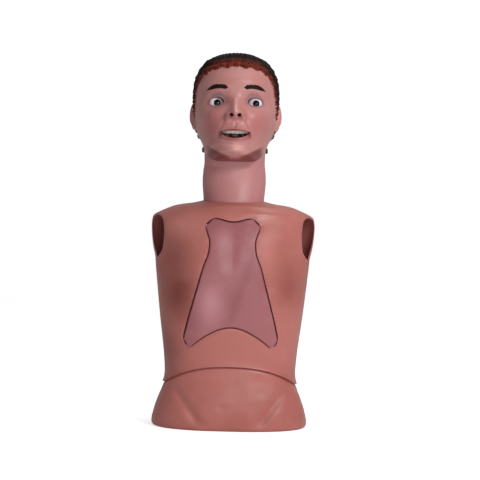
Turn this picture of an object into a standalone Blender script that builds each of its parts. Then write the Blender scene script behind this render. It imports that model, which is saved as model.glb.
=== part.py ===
# Gavage and intubation manikin: torso, turning neck and tilting head.
# Metres, +Z up, the manikin faces -Y. The origin is the centre of the flat underside.

import math

import bmesh
import bpy
from mathutils import Matrix, Vector

# Driving sizes of the torso
HEM_HEIGHT = 0.080
HEM_RISE = 0.038
SEAM_HEIGHT = 0.4155
SHELL_WALL = 0.0040
FIT = 0.0005
BASE_HALF = 0.1440
BASE_HALF_DEPTH = 0.0950
BASE_EDGE = 0.0050
BASE_RIM_HEIGHT = 0.1400
WAIST_HALF = 0.1212
WAIST_HALF_DEPTH = 0.0820
CHEST_HALF = 0.1430
CHEST_HALF_DEPTH = 0.0960
SHOULDER_HALF = 0.1590
SHOULDER_TIP_HEIGHT = 0.3810

# Armholes
ARMHOLE_HEIGHT = 0.3630
ARMHOLE_RADIUS = 0.0580
ARMHOLE_EDGE = 0.1405
ARMHOLE_TURN = math.radians(17.7)

# Chest plate and its window
PLATE_TIP_HEIGHT = 0.1520
PLATE_ARCH_HEIGHT = 0.1900
PLATE_TOP_HEIGHT = 0.3810
PLATE_HALF_BOTTOM = 0.0850
PLATE_HALF_WAIST = 0.0410
PLATE_HALF_TOP = 0.0495
PLATE_GAP = 0.0014
PEG_RADIUS = 0.0020
PEG_LENGTH = 0.0100
LEDGE_OUT = 0.0050
LEDGE_IN = 0.0040
LEDGE_WALL = 0.0030
LEDGE_GAP = 0.0010

# Neck, turning about the vertical line at NECK_Y
NECK_Y = 0.0080
NECK_RADIUS = 0.0560
NECK_WALL = 0.0040
NECK_FLANGE_RADIUS = 0.0400
LEDGE_RADIUS = 0.0465
RING_FLANGE_RADIUS = 0.0645
RING_LOW = 0.3910
RING_STEP = 0.0040
RETAINER_WALL = 0.0050

# Head, tilting about a cross axle
TILT_Y = 0.0080
TILT_HEIGHT = 0.5090
TILT_REST = math.radians(-18)
TILT_FORWARD = math.radians(18)
TILT_BACK = math.radians(-25)
DOME_HALF = 0.0565
DOME_RADIUS = 0.0540
HEAD_CLEARANCE = 0.0012
AXLE_RADIUS = 0.0040
RUNNING = 0.0003
KNOB_RADIUS = 0.0052
KNOB_LENGTH = 0.0038
EAR_LINE = Vector((0.0, -0.0170, 0.0460))
HEAD_WALL = 0.0040
FACE_WALL = 0.0140
EYE_RADIUS = 0.0135
EYE_X = 0.0354
EYE_Y = -0.0570
EYE_Z = 0.0160
NOSTRIL_X = 0.0067
NOSTRIL_RADIUS = 0.0033
DUCT_RADIUS = 0.0056
DUCT_HEIGHT = 0.5760

# Mouth and throat, in the world frame with the head at rest
MOUTH_HEIGHT = 0.5395
TOOTH_ARCH_Y = -0.0660
TOOTH_ARCH_RADIUS = 0.0250
TOOTH_DEPTH = 0.0055
POCKET_RADIUS = 0.0290
THROAT_Y = -0.0180
THROAT_HALF_DEPTH = 0.0170
THROAT_HALF = 0.0220
THROAT_LOW = 0.4970
THROAT_HIGH = 0.5900
THROAT_WALL = 0.0025
WINDPIPE_Y = -0.0230
WINDPIPE_RADIUS = 0.0080
WINDPIPE_BORE = 0.0050
GULLET_Y = -0.0080
GULLET_RADIUS = 0.0060
GULLET_BORE = 0.0030
SPIGOT_LENGTH = 0.0120
SPIGOT_WALL = 0.0011
HOSE_WALL = 0.0014

# Inside the torso
ORGAN_TOP = 0.3580
HOSE_BOTTOM = 0.3480
BOARD_Y = 0.0260
BOARD_WALL = 0.0030
BOARD_HALF = 0.0800
BOARD_TOP = 0.3450
LUNG_GAP_HALF = 0.0165
STOMACH_RADIUS = 0.0250

MANIKIN = bpy.data.collections.new("gavage_and_intubation_manikin")
CUTTERS = bpy.data.collections.new("cutters")


def start():
    for old in list(bpy.data.objects):
        bpy.data.objects.remove(old, do_unlink=True)
    bpy.context.scene.collection.children.link(MANIKIN)
    bpy.context.scene.collection.children.link(CUTTERS)


def material(name, colour, roughness, metallic=0.0):
    made = bpy.data.materials.new(name)
    made.use_nodes = True
    shader = made.node_tree.nodes["Principled BSDF"]
    shader.inputs["Base Color"].default_value = (*colour, 1.0)
    shader.inputs["Roughness"].default_value = roughness
    shader.inputs["Metallic"].default_value = metallic
    return made


start()
SKIN = material("skin_vinyl", (0.48, 0.17, 0.14), 0.45)
FACE = material("face_vinyl", (0.56, 0.25, 0.23), 0.40)
PLATE = material("plate_vinyl", (0.43, 0.17, 0.17), 0.42)
EYE = material("eye_glaze", (0.90, 0.82, 0.80), 0.08)
TOOTH = material("tooth_plastic", (0.88, 0.85, 0.76), 0.25)
GUM = material("mouth_vinyl", (0.55, 0.12, 0.12), 0.35)
TUBE = material("tube_silicone", (0.74, 0.62, 0.50), 0.40)
LUNG = material("lung_vinyl", (0.62, 0.24, 0.24), 0.45)
STOMACH = material("stomach_vinyl", (0.68, 0.38, 0.28), 0.45)
FRAME = material("frame_plastic", (0.75, 0.74, 0.70), 0.50)
BLACK = material("black_plastic", (0.01, 0.01, 0.01), 0.40)
STEEL = material("steel", (0.55, 0.55, 0.56), 0.30, 1.0)


def keep(mesh, name, skin, smooth=True):
    """Put a mesh in the manikin's collection as one named piece."""
    piece = bpy.data.objects.new(name, mesh)
    if skin:
        mesh.materials.append(skin)
        MANIKIN.objects.link(piece)
    else:
        CUTTERS.objects.link(piece)
        piece.hide_render = True
        piece.display_type = "WIRE"
    if smooth:
        mesh.shade_smooth()
        mesh.set_sharp_from_angle(angle=math.radians(35))
    return piece


def loft(name, rings, skin=None, caps=(True, True), around=False):
    """Quads between rings of equal length; rings run upwards, points counter-clockwise from above."""
    form = bmesh.new()
    rows = [[form.verts.new(point) for point in ring] for ring in rings]
    count = len(rows[0])
    pairs = list(zip(rows, rows[1:]))
    if around:
        pairs.append((rows[-1], rows[0]))
    for low, high in pairs:
        for k in range(count):
            n = (k + 1) % count
            form.faces.new((low[k], low[n], high[n], high[k]))
    if caps[0]:
        form.faces.new(list(reversed(rows[0])))
    if caps[1]:
        form.faces.new(rows[-1])
    if around or all(caps):
        bmesh.ops.recalc_face_normals(form, faces=form.faces)
    mesh = bpy.data.meshes.new(name)
    form.to_mesh(mesh)
    form.free()
    return keep(mesh, name, skin)


def turned(name, profile, skin=None, steps=32, at=(0.0, 0.0, 0.0), along="Z"):
    """A closed profile of (radius, height) points, outer side first and downwards, swept round."""
    mesh = bpy.data.meshes.new(name)
    lead = 0.0 if skin else math.pi / steps
    points = [(radius * math.cos(lead), radius * math.sin(lead), height) for radius, height in profile]
    on_axis = profile[0][0] == 0.0 and profile[-1][0] == 0.0
    last = len(points) - 1
    edges = [(k, k + 1) for k in range(last)]
    if not on_axis:
        edges.append((last, 0))
    mesh.from_pydata(points, edges, [])
    piece = keep(mesh, name, skin, smooth=False)
    screw = piece.modifiers.new("turn", "SCREW")
    screw.steps = steps
    screw.render_steps = steps
    screw.use_merge_vertices = True
    screw.merge_threshold = 0.00001
    piece.location = at
    if along == "X":
        piece.rotation_euler = (0.0, math.pi / 2, 0.0)
    if along == "Y":
        piece.rotation_euler = (math.pi / 2, 0.0, 0.0)
    return piece


def cylinder(name, radius, low, high, skin=None, steps=32, at=(0.0, 0.0, 0.0), along="Z"):
    """A plain cylinder between two heights; a cutter is turned by half a facet."""
    form = bmesh.new()
    lead = 0.0 if skin else math.pi / steps
    middle = Matrix.Translation((0.0, 0.0, (low + high) / 2)) @ Matrix.Rotation(lead, 4, "Z")
    bmesh.ops.create_cone(
        form, cap_ends=True, segments=steps, radius1=radius, radius2=radius, depth=high - low, matrix=middle
    )
    mesh = bpy.data.meshes.new(name)
    form.to_mesh(mesh)
    form.free()
    piece = keep(mesh, name, skin)
    piece.location = at
    if along == "X":
        piece.rotation_euler = (0.0, math.pi / 2, 0.0)
    if along == "Y":
        piece.rotation_euler = (math.pi / 2, 0.0, 0.0)
    return piece


def pipe(outer, inner, low, high):
    """Profile of a plain pipe between two heights."""
    return [(outer, high), (outer, low), (inner, low), (inner, high)]


def solidify(piece, wall):
    thick = piece.modifiers.new("wall", "SOLIDIFY")
    thick.thickness = wall
    thick.offset = -1.0
    thick.use_even_offset = True
    thick.use_rim = True


def cut(piece, *cutters, operation="DIFFERENCE"):
    for cutter in cutters:
        step = piece.modifiers.new(cutter.name, "BOOLEAN")
        step.operation = operation
        step.object = cutter
        step.solver = "EXACT"


def join(piece, *others):
    cut(piece, *others, operation="UNION")


def slab(name, outline, thickness, skin=None, at=(0, 0, 0), turn=(0, 0, 0), bevel=0.0):
    """A flat outline of (x, y) points, extruded by half its thickness each way, as a mesh."""
    curve = bpy.data.curves.new(name + "_outline", "CURVE")
    curve.dimensions = "2D"
    curve.fill_mode = "BOTH"
    curve.extrude = thickness / 2
    spline = curve.splines.new("POLY")
    spline.points.add(len(outline) - 1)
    for point, (x, y) in zip(spline.points, outline):
        point.co = (x, y, 0.0, 1.0)
    spline.use_cyclic_u = True
    return from_curve(name, curve, skin, at, turn, bevel)


def from_curve(name, curve, skin, at=(0, 0, 0), turn=(0, 0, 0), bevel=0.0):
    """Turn a curve into a welded mesh piece and drop the curve."""
    guide = bpy.data.objects.new(name + "_guide", curve)
    MANIKIN.objects.link(guide)
    guide.location = at
    guide.rotation_euler = turn
    bpy.context.view_layer.update()
    ready = guide.evaluated_get(bpy.context.evaluated_depsgraph_get())
    mesh = bpy.data.meshes.new_from_object(ready)
    mesh.name = name
    mesh.materials.clear()
    form = bmesh.new()
    form.from_mesh(mesh)
    bmesh.ops.remove_doubles(form, verts=form.verts, dist=0.000001)
    bmesh.ops.recalc_face_normals(form, faces=form.faces)
    form.to_mesh(mesh)
    form.free()
    piece = keep(mesh, name, skin)
    piece.matrix_world = guide.matrix_world.copy()
    bpy.data.objects.remove(guide, do_unlink=True)
    if bevel:
        edge = piece.modifiers.new("edge", "BEVEL")
        edge.width = bevel
        edge.segments = 2
        edge.limit_method = "ANGLE"
    return piece


def curve_tube(name, points, radii, skin=None, resolution=3):
    """A tube through the points, with a radius at each, and filled caps."""
    curve = bpy.data.curves.new(name + "_path", "CURVE")
    curve.dimensions = "3D"
    curve.bevel_depth = 1.0
    curve.bevel_resolution = resolution
    curve.use_fill_caps = True
    spline = curve.splines.new("POLY")
    spline.points.add(len(points) - 1)
    for point, where, radius in zip(spline.points, points, radii):
        point.co = (*where, 1.0)
        point.radius = radius
    return from_curve(name, curve, skin)


def block(name, low, high, skin=None, bevel=0.0, segments=2):
    """A box between two corners, with rounded edges."""
    form = bmesh.new()
    bmesh.ops.create_cube(form, size=1.0)
    low, high = Vector(low), Vector(high)
    for vert in form.verts:
        for k in range(3):
            vert.co[k] = low[k] + (vert.co[k] + 0.5) * (high[k] - low[k])
    mesh = bpy.data.meshes.new(name)
    form.to_mesh(mesh)
    form.free()
    piece = keep(mesh, name, skin, smooth=False)
    if bevel:
        edge = piece.modifiers.new("edge", "BEVEL")
        edge.width = bevel
        edge.segments = segments
    return piece


def ball(name, at, radii, skin=None, segments=20, rings=12, limit=None):
    """A stretched sphere; limit(vector) may press its surface flat."""
    form = bmesh.new()
    bmesh.ops.create_uvsphere(form, u_segments=segments, v_segments=rings, radius=1.0)
    for vert in form.verts:
        vert.co = Vector([at[k] + vert.co[k] * radii[k] for k in range(3)])
        if limit:
            vert.co = limit(vert.co)
    mesh = bpy.data.meshes.new(name)
    form.to_mesh(mesh)
    form.free()
    return keep(mesh, name, skin)


def pivot_on(piece, at, turn=0.0):
    """Move a piece's origin to a joint axis, keeping its shape where it is, then turn it."""
    piece.data.transform(Matrix.Translation(-Vector(at)))
    piece.location = at
    piece.rotation_euler = (turn, 0.0, 0.0)


# Smooth steps and monotone interpolation through stations


def step(x):
    x = min(1.0, max(0.0, x))
    return x * x * (3.0 - 2.0 * x)


def smooth(xs, ys, x):
    """Monotone cubic through the points (xs, ys)."""
    if x <= xs[0]:
        return ys[0]
    if x >= xs[-1]:
        return ys[-1]
    k = max(i for i in range(len(xs) - 1) if xs[i] <= x)
    runs = [xs[i + 1] - xs[i] for i in range(len(xs) - 1)]
    rises = [(ys[i + 1] - ys[i]) / runs[i] for i in range(len(runs))]

    def slope(i):
        if i == 0:
            return rises[0]
        if i == len(xs) - 1:
            return rises[-1]
        a, b = rises[i - 1], rises[i]
        return 0.0 if a * b <= 0 else 2 * a * b / (a + b)

    h = runs[k]
    t = (x - xs[k]) / h
    a = (1 + 2 * t) * (1 - t) ** 2 * ys[k] + t * (1 - t) ** 2 * h * slope(k)
    return a + t * t * (3 - 2 * t) * ys[k + 1] + t * t * (t - 1) * h * slope(k + 1)


def stations(table, z):
    """Every column of a station table at height z."""
    heights = [row[0] for row in table]
    return [smooth(heights, [row[k] for row in table], z) for k in range(1, len(table[0]))]


def power(value, exponent):
    return math.copysign(abs(value) ** exponent, value)


def bump(x, z, cx, cz, sx, sz):
    return math.exp(-(((x - cx) / sx) ** 2) - ((z - cz) / sz) ** 2)


# Torso surface: height, half width, front, back, line of greatest width, squareness in front and behind
EDGE = BASE_EDGE
CHEST_FRONT = -CHEST_HALF_DEPTH
CONE_HEIGHT = SEAM_HEIGHT - 0.0045
CONE_RADIUS = NECK_RADIUS + 0.0140
LIP_HEIGHT = SEAM_HEIGHT + 0.0010
LIP_RADIUS = NECK_RADIUS - 0.0030
TORSO = (
    (0.0000, BASE_HALF - EDGE, -BASE_HALF_DEPTH + EDGE, BASE_HALF_DEPTH - EDGE, 0.0, 2.5, 2.5),
    (0.0015, BASE_HALF - 0.0020, -BASE_HALF_DEPTH + 0.0020, BASE_HALF_DEPTH - 0.0020, 0.0, 2.5, 2.5),
    (0.0070, BASE_HALF, -BASE_HALF_DEPTH, BASE_HALF_DEPTH, 0.0, 2.5, 2.5),
    (0.0300, BASE_HALF - 0.0045, -BASE_HALF_DEPTH - 0.0010, BASE_HALF_DEPTH - 0.0010, 0.0, 2.5, 2.5),
    (0.0520, BASE_HALF - 0.0120, -BASE_HALF_DEPTH + 0.0010, BASE_HALF_DEPTH - 0.0050, 0.0, 2.4, 2.4),
    (0.0740, WAIST_HALF + 0.0028, -WAIST_HALF_DEPTH - 0.0070, WAIST_HALF_DEPTH, 0.0, 2.4, 2.4),
    (0.1000, WAIST_HALF, -WAIST_HALF_DEPTH - 0.0030, WAIST_HALF_DEPTH - 0.0020, 0.0, 2.4, 2.4),
    (0.1290, WAIST_HALF + 0.0018, -WAIST_HALF_DEPTH - 0.0040, WAIST_HALF_DEPTH - 0.0020, 0.0, 2.4, 2.4),
    (0.1960, WAIST_HALF + 0.0098, -WAIST_HALF_DEPTH - 0.0100, WAIST_HALF_DEPTH + 0.0020, 0.0, 2.4, 2.4),
    (0.2400, CHEST_HALF - 0.0070, CHEST_FRONT - 0.0010, CHEST_HALF_DEPTH - 0.0080, 0.0020, 2.3, 2.4),
    (0.2850, CHEST_HALF - 0.0020, CHEST_FRONT - 0.0040, CHEST_HALF_DEPTH - 0.0040, 0.0080, 2.1, 2.4),
    (0.3070, CHEST_HALF + 0.0005, CHEST_FRONT - 0.0030, CHEST_HALF_DEPTH - 0.0030, 0.0150, 1.9, 2.5),
    (0.3300, SHOULDER_HALF - 0.0085, CHEST_FRONT, CHEST_HALF_DEPTH - 0.0030, 0.0220, 1.8, 2.6),
    (0.3500, SHOULDER_HALF - 0.0030, CHEST_FRONT + 0.0040, CHEST_HALF_DEPTH - 0.0030, 0.0220, 1.8, 2.6),
    (0.3680, SHOULDER_HALF, CHEST_FRONT + 0.0110, CHEST_HALF_DEPTH - 0.0040, 0.0220, 1.8, 2.5),
    (SHOULDER_TIP_HEIGHT, SHOULDER_HALF - 0.0030, -0.0780, 0.0905, 0.0220, 1.85, 2.3),
    (0.3905, 0.1420, -0.0740, 0.0885, 0.0180, 1.9, 2.1),
    (0.3993, 0.1180, -0.0700, 0.0860, 0.0140, 2.0, 2.0),
    (0.4065, 0.0960, -0.0660, 0.0830, 0.0100, 2.0, 2.0),
    (CONE_HEIGHT, CONE_RADIUS, NECK_Y - CONE_RADIUS, NECK_Y + CONE_RADIUS, NECK_Y, 2.0, 2.0),
    (LIP_HEIGHT, LIP_RADIUS, NECK_Y - LIP_RADIUS, NECK_Y + LIP_RADIUS, NECK_Y, 2.0, 2.0),
)


def chest_relief(x, z):
    """How far the front stands out of the plain section: pectorals, breastbone, navel, groin."""
    side = abs(x)
    rise = 0.0055 * bump(side, z, 0.066, 0.318, 0.040, 0.030)
    rise += 0.0020 * bump(side, z, 0.070, 0.345, 0.045, 0.030)
    rise -= 0.0025 * bump(x, z, 0.0, 0.330, 0.014, 0.045)
    rise -= 0.0022 * bump(side, z, 0.080, 0.272, 0.045, 0.012)
    rise += 0.0020 * bump(side, z, 0.062, 0.396, 0.045, 0.006)
    rise += 0.0030 * bump(x, z, 0.0, 0.070, 0.050, 0.030)
    rise -= 0.0030 * bump(x, z, 0.004, 0.052, 0.006, 0.005)
    crease = side - (0.045 + 0.75 * z)
    rise -= 0.0060 * math.exp(-((crease / 0.010) ** 2)) * step((0.085 - z) / 0.03)
    return rise * step((0.125 - side) / 0.03) * step((z - 0.002) / 0.020)


def torso_point(angle, z, inset=0.0):
    width, front, back, middle, square, back_square = stations(TORSO, z)
    half = middle - front
    if math.sin(angle) > 0:
        half, square = back - middle, back_square
    x = (width - inset) * power(math.cos(angle), 2 / square)
    y = middle + (half - inset) * power(math.sin(angle), 2 / square)
    if math.sin(angle) < 0:
        y -= chest_relief(x, z) * step(-math.sin(angle) / 0.25)
    return Vector((x, y, z))


def front_point(x, z, depth=0.0):
    """The chest's surface at x and z, moved inwards by depth along its normal."""

    def height(px, pz):
        width, front, back, middle, square, back_square = stations(TORSO, pz)
        share = min(1.0, abs(px) / width)
        return middle - (middle - front) * (1 - share**square) ** (1 / square) - chest_relief(px, pz)

    reach = 0.001
    slope_x = (height(x + reach, z) - height(x - reach, z)) / (2 * reach)
    slope_z = (height(x, z + reach) - height(x, z - reach)) / (2 * reach)
    outward = Vector((slope_x, -1.0, slope_z)).normalized()
    return Vector((x, height(x, z), z)) - outward * depth


TORSO_COLUMNS = 40
TORSO_ANGLES = [2 * math.pi * (k + 0.5) / TORSO_COLUMNS for k in range(TORSO_COLUMNS)]


def hem_bend(angle, z, fade=0.090):
    """The hem arches up in front; rows above it bend less and less."""
    front = max(0.0, -math.sin(angle)) ** 1.6
    return HEM_RISE * front * (1 - step((z - HEM_HEIGHT) / fade))


# Thorax shell: one thin moulding with hem, window, armholes and neck hole
SHELL_ROWS = 13
shell_heights = [HEM_HEIGHT, HEM_HEIGHT + 0.006]
for k in range(1, SHELL_ROWS):
    share = 1 - (1 - k / SHELL_ROWS) ** 1.5
    shell_heights.append(HEM_HEIGHT + 0.010 + share * (SEAM_HEIGHT - 0.0045 - HEM_HEIGHT - 0.010))
shell_heights += [SEAM_HEIGHT - 0.0045, SEAM_HEIGHT + 0.0010]

shell_rings = []
for height in shell_heights:
    ring = []
    for angle in TORSO_ANGLES:
        flare = 0.0020 * math.exp(-(height - HEM_HEIGHT) / 0.006)
        ring.append(torso_point(angle, height + hem_bend(angle, height), -flare))
    shell_rings.append(ring)
thorax_shell = loft("thorax_shell", shell_rings, SKIN, caps=(False, False))
solidify(thorax_shell, SHELL_WALL)

neck_hole = cylinder("neck_hole_cutter", NECK_RADIUS + FIT, SEAM_HEIGHT - 0.03, SEAM_HEIGHT + 0.02, steps=72)
neck_hole.location.y = NECK_Y
cut(thorax_shell, neck_hole)

ARMHOLE_DEPTH = 0.060
for side, word in ((-1, "left"), (1, "right")):
    bore = cylinder("armhole_cutter_" + word, ARMHOLE_RADIUS, 0.0, ARMHOLE_DEPTH, steps=36)
    outward = Vector((side * math.cos(ARMHOLE_TURN), -math.sin(ARMHOLE_TURN), 0.0))
    bore.rotation_mode = "QUATERNION"
    bore.rotation_quaternion = outward.to_track_quat("Z", "Y")
    bore.location = (side * ARMHOLE_EDGE, 0.0120, ARMHOLE_HEIGHT)
    cut(thorax_shell, bore)


# Chest plate outline: a bell with an arched foot, a waist and two square shoulders
PLATE_SIDE = (
    (PLATE_TIP_HEIGHT, PLATE_HALF_BOTTOM),
    (0.1650, PLATE_HALF_BOTTOM + 0.0005),
    (0.1950, PLATE_HALF_BOTTOM - 0.0050),
    (0.2300, PLATE_HALF_BOTTOM - 0.0140),
    (0.2670, PLATE_HALF_WAIST + 0.0200),
    (0.3000, PLATE_HALF_WAIST + 0.0110),
    (0.3250, PLATE_HALF_WAIST + 0.0020),
    (0.3450, PLATE_HALF_WAIST),
    (0.3600, PLATE_HALF_TOP - 0.0040),
    (PLATE_TOP_HEIGHT - 0.0060, PLATE_HALF_TOP),
    (PLATE_TOP_HEIGHT + 0.0080, PLATE_HALF_TOP - 0.0060),
)


def plate_half(z):
    return smooth([row[0] for row in PLATE_SIDE], [row[1] for row in PLATE_SIDE], z)


def plate_foot(share):
    """Height of the plate's foot: an arch that ends in two rounded tips."""
    arch = PLATE_TIP_HEIGHT - 0.004 + (PLATE_ARCH_HEIGHT - PLATE_TIP_HEIGHT + 0.004) * math.cos(
        math.pi / 2 * min(1.0, abs(share) / 0.92)
    )
    return arch + 0.016 * step((abs(share) - 0.90) / 0.10)


def plate_top(share):
    peak = 0.0060 * step(abs(share) / 0.75)
    return PLATE_TOP_HEIGHT + peak - 0.0110 * step((abs(share) - 0.78) / 0.22)


def plate_place(share, rise):
    """x and z on the plate: share runs -1 to 1 across it, rise 0 to 1 up it."""
    z = plate_foot(share) + rise * (plate_top(share) - plate_foot(share))
    return share * plate_half(z), z


def plate_outline(margin):
    """The plate's outline as (x, z) points, moved outwards by margin."""
    across, up = 18, 12
    loop = [plate_place(-1 + 2 * k / across, 0.0) for k in range(across)]
    loop += [plate_place(1.0, k / up) for k in range(up)]
    loop += [plate_place(1 - 2 * k / across, 1.0) for k in range(across)]
    loop += [plate_place(-1.0, 1 - k / up) for k in range(up)]
    moved = []
    for k, (x, z) in enumerate(loop):
        before, after = loop[k - 1], loop[(k + 1) % len(loop)]
        tangent = Vector((after[0] - before[0], after[1] - before[1]))
        tangent.normalize()
        moved.append((x + tangent.y * margin, z - tangent.x * margin))
    return moved


def plate_grid(name, skin, depth, wall):
    """The plate as front and back grids that share their rim."""
    across, up = 12, 14
    form = bmesh.new()
    layers = []
    for layer in (depth, depth + wall):
        rows = []
        for j in range(up + 1):
            row = []
            for i in range(across + 1):
                x, z = plate_place(-1 + 2 * i / across, j / up)
                row.append(form.verts.new(front_point(x, z, layer)))
            rows.append(row)
        layers.append(rows)
    for front, rows in enumerate(layers):
        for j in range(up):
            for i in range(across):
                quad = (rows[j][i], rows[j][i + 1], rows[j + 1][i + 1], rows[j + 1][i])
                form.faces.new(quad if front == 0 else tuple(reversed(quad)))
    rims = []
    for rows in layers:
        rim = rows[0][:-1] + [row[-1] for row in rows[:-1]]
        rim += list(reversed(rows[-1]))[:-1] + [row[0] for row in reversed(rows[1:])]
        rims.append(rim)
    for k in range(len(rims[0])):
        n = (k + 1) % len(rims[0])
        form.faces.new((rims[0][k], rims[1][k], rims[1][n], rims[0][n]))
    bmesh.ops.recalc_face_normals(form, faces=form.faces)
    mesh = bpy.data.meshes.new(name)
    form.to_mesh(mesh)
    form.free()
    return keep(mesh, name, skin)


chest_plate = plate_grid("chest_plate", PLATE, 0.0, SHELL_WALL)

window = [[(x, -0.140, z) for x, z in plate_outline(PLATE_GAP)]]
window.append([(x, -0.030, z) for x, z in plate_outline(PLATE_GAP)])
cut(thorax_shell, loft("window_cutter", window))

# Window frame: a ledge behind the window's edge, with four pads for the plate's pegs
LEDGE_DEPTH = SHELL_WALL + LEDGE_GAP
LEDGE_BACK = LEDGE_DEPTH + LEDGE_WALL
ledge_rings = []
for depth, margins in ((LEDGE_DEPTH, (LEDGE_OUT, 0.0, -LEDGE_IN)), (LEDGE_BACK, (-LEDGE_IN, 0.0, LEDGE_OUT))):
    for margin in margins:
        ledge_rings.append([front_point(x, z, depth) for x, z in plate_outline(margin)])
window_frame = loft("window_frame", ledge_rings, FRAME, caps=(False, False), around=True)

PEG_PLACES = [(side * x, z) for side in (-1, 1) for x, z in ((0.0375, 0.3740), (0.0740, 0.1740))]
for number, (x, z) in enumerate(PEG_PLACES):
    seat = front_point(x, z, SHELL_WALL)
    pad = cylinder(f"pad_{number}", 0.0052, -0.0085, -0.0036, steps=16, at=seat, along="Y")
    join(window_frame, pad)
    hole = cylinder(f"peg_hole_{number}", PEG_RADIUS + 0.0004, -0.0200, 0.0200, steps=16, at=seat, along="Y")
    cut(window_frame, hole)
    peg = turned(
        f"peg_{number}",
        [(0.0, 0.002), (PEG_RADIUS, 0.002), (PEG_RADIUS, 0.0015 - PEG_LENGTH), (0.0, -PEG_LENGTH)],
        steps=12,
        at=seat,
        along="Y",
    )
    join(chest_plate, peg)


# Abdomen base: a cup with a flat underside, whose rim goes up inside the thorax shell
def base_point(angle, height, inside):
    bend = hem_bend(angle, max(height, HEM_HEIGHT), fade=BASE_RIM_HEIGHT - HEM_HEIGHT)
    if height < HEM_HEIGHT:
        bend *= step(height / HEM_HEIGHT)
    return torso_point(angle, height + bend, inside)


STEP_IN = SHELL_WALL + FIT
base_rows = [
    (0.0, 0.0),
    (0.0015, 0.0),
    (0.0070, 0.0),
    (0.0200, 0.0),
    (0.0320, 0.0),
    (0.0440, 0.0),
    (0.0560, 0.0),
    (HEM_HEIGHT - 0.0120, 0.0),
    (HEM_HEIGHT - 0.0060, 0.0006),
    (HEM_HEIGHT - 0.0015, STEP_IN),
    (HEM_HEIGHT + 0.0300, STEP_IN),
    (BASE_RIM_HEIGHT, STEP_IN),
]
base_rings = [[base_point(angle, height, inside) for angle in TORSO_ANGLES] for height, inside in base_rows]
abdomen_base = loft("abdomen_base", base_rings, SKIN, caps=(True, False))
solidify(abdomen_base, SHELL_WALL)

# Organ tray: a shelf on the base's rim and an upright board behind the organs
shelf_outline = []
for angle in TORSO_ANGLES:
    edge = torso_point(angle, BASE_RIM_HEIGHT, STEP_IN + 0.0006)
    shelf_outline.append((edge.x, edge.y))
SHELF_WALL = 0.0030
SHELF_Z = BASE_RIM_HEIGHT + FIT + SHELF_WALL / 2
organ_tray = slab("organ_tray", shelf_outline, SHELF_WALL, FRAME, at=(0.0, 0.0, SHELF_Z))
board = block(
    "tray_board",
    (-BOARD_HALF, BOARD_Y, SHELF_Z - SHELF_WALL / 4),
    (BOARD_HALF, BOARD_Y + BOARD_WALL, BOARD_TOP),
)
join(organ_tray, board)
ORGAN_FLOOR = SHELF_Z + SHELF_WALL / 2 + FIT
ORGAN_BACK = BOARD_Y - FIT


def lung(side, word):
    centre = (side * 0.0440, -0.0120, 0.2850)

    def press(point):
        lean = (point.z - centre[2]) * 0.12
        point.x = side * max(LUNG_GAP_HALF, side * point.x - lean)
        point.y = min(ORGAN_BACK, point.y)
        dome = 0.0080 * math.exp(-(((abs(point.x) - 0.045) / 0.022) ** 2))
        if point.z < centre[2] - 0.030:
            point.z += dome * step((centre[2] - 0.030 - point.z) / 0.030) + 0.002
        return point

    return ball("lung_" + word, centre, (0.0340, 0.0400, 0.0600), LUNG, 14, 10, press)


lung_left = lung(-1, "left")
lung_right = lung(1, "right")

# Bronchial tree: a windpipe that forks to the two lungs, bored right through
FORK_HEIGHT = 0.3080
bronchial_tree = curve_tube(
    "bronchial_tree",
    [(0.0, WINDPIPE_Y, ORGAN_TOP), (0.0, WINDPIPE_Y, FORK_HEIGHT - 0.004)],
    [WINDPIPE_BORE + SPIGOT_WALL] * 2,
    TUBE,
)
trunk_bore = curve_tube(
    "trunk_bore",
    [(0.0, WINDPIPE_Y, ORGAN_TOP + 0.01), (0.0, WINDPIPE_Y, FORK_HEIGHT - 0.003)],
    [WINDPIPE_BORE] * 2,
)
bores = [trunk_bore]
for side, word in ((-1, "left"), (1, "right")):
    lean = 0.0015 * side
    end = (side * (LUNG_GAP_HALF - FIT - 0.0037), WINDPIPE_Y + 0.0010, 0.2900 - lean)
    past = (side * (LUNG_GAP_HALF + 0.0060), WINDPIPE_Y + 0.0013, 0.2798 - lean * 1.5)
    start_at = (-lean / 2, WINDPIPE_Y, FORK_HEIGHT + lean)
    branch = curve_tube("bronchus_" + word, [start_at, end], [0.0052, 0.0044])
    bore = curve_tube("bronchus_bore_" + word, [start_at, past], [0.0042, 0.0032])
    join(bronchial_tree, branch)
    bores.append(bore)
cut(bronchial_tree, *bores)


# Lower gullet and stomach
def bow(points, count):
    """Points read along a smooth curve through the route's own points."""
    places = [k / (len(points) - 1) for k in range(len(points))]
    made = []
    for k in range(count):
        share = k / (count - 1)
        made.append(tuple(smooth(places, [point[axis] for point in points], share) for axis in range(3)))
    return made


STOMACH_TOP = (0.0040, GULLET_Y, 0.2300)
gullet_path = bow(
    [(0.0, GULLET_Y, ORGAN_TOP), (0.0, GULLET_Y, 0.300), (0.0010, GULLET_Y, 0.260), STOMACH_TOP],
    9,
)
gullet_lower = curve_tube("gullet_lower", gullet_path, [GULLET_BORE + SPIGOT_WALL] * 9, TUBE)
gullet_bore = [(gullet_path[0][0], gullet_path[0][1], gullet_path[0][2] + 0.01)] + gullet_path[1:-1]
gullet_bore.append((STOMACH_TOP[0], STOMACH_TOP[1], STOMACH_TOP[2] - 0.01))
cut(gullet_lower, curve_tube("gullet_bore", gullet_bore, [GULLET_BORE] * 9))

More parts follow.
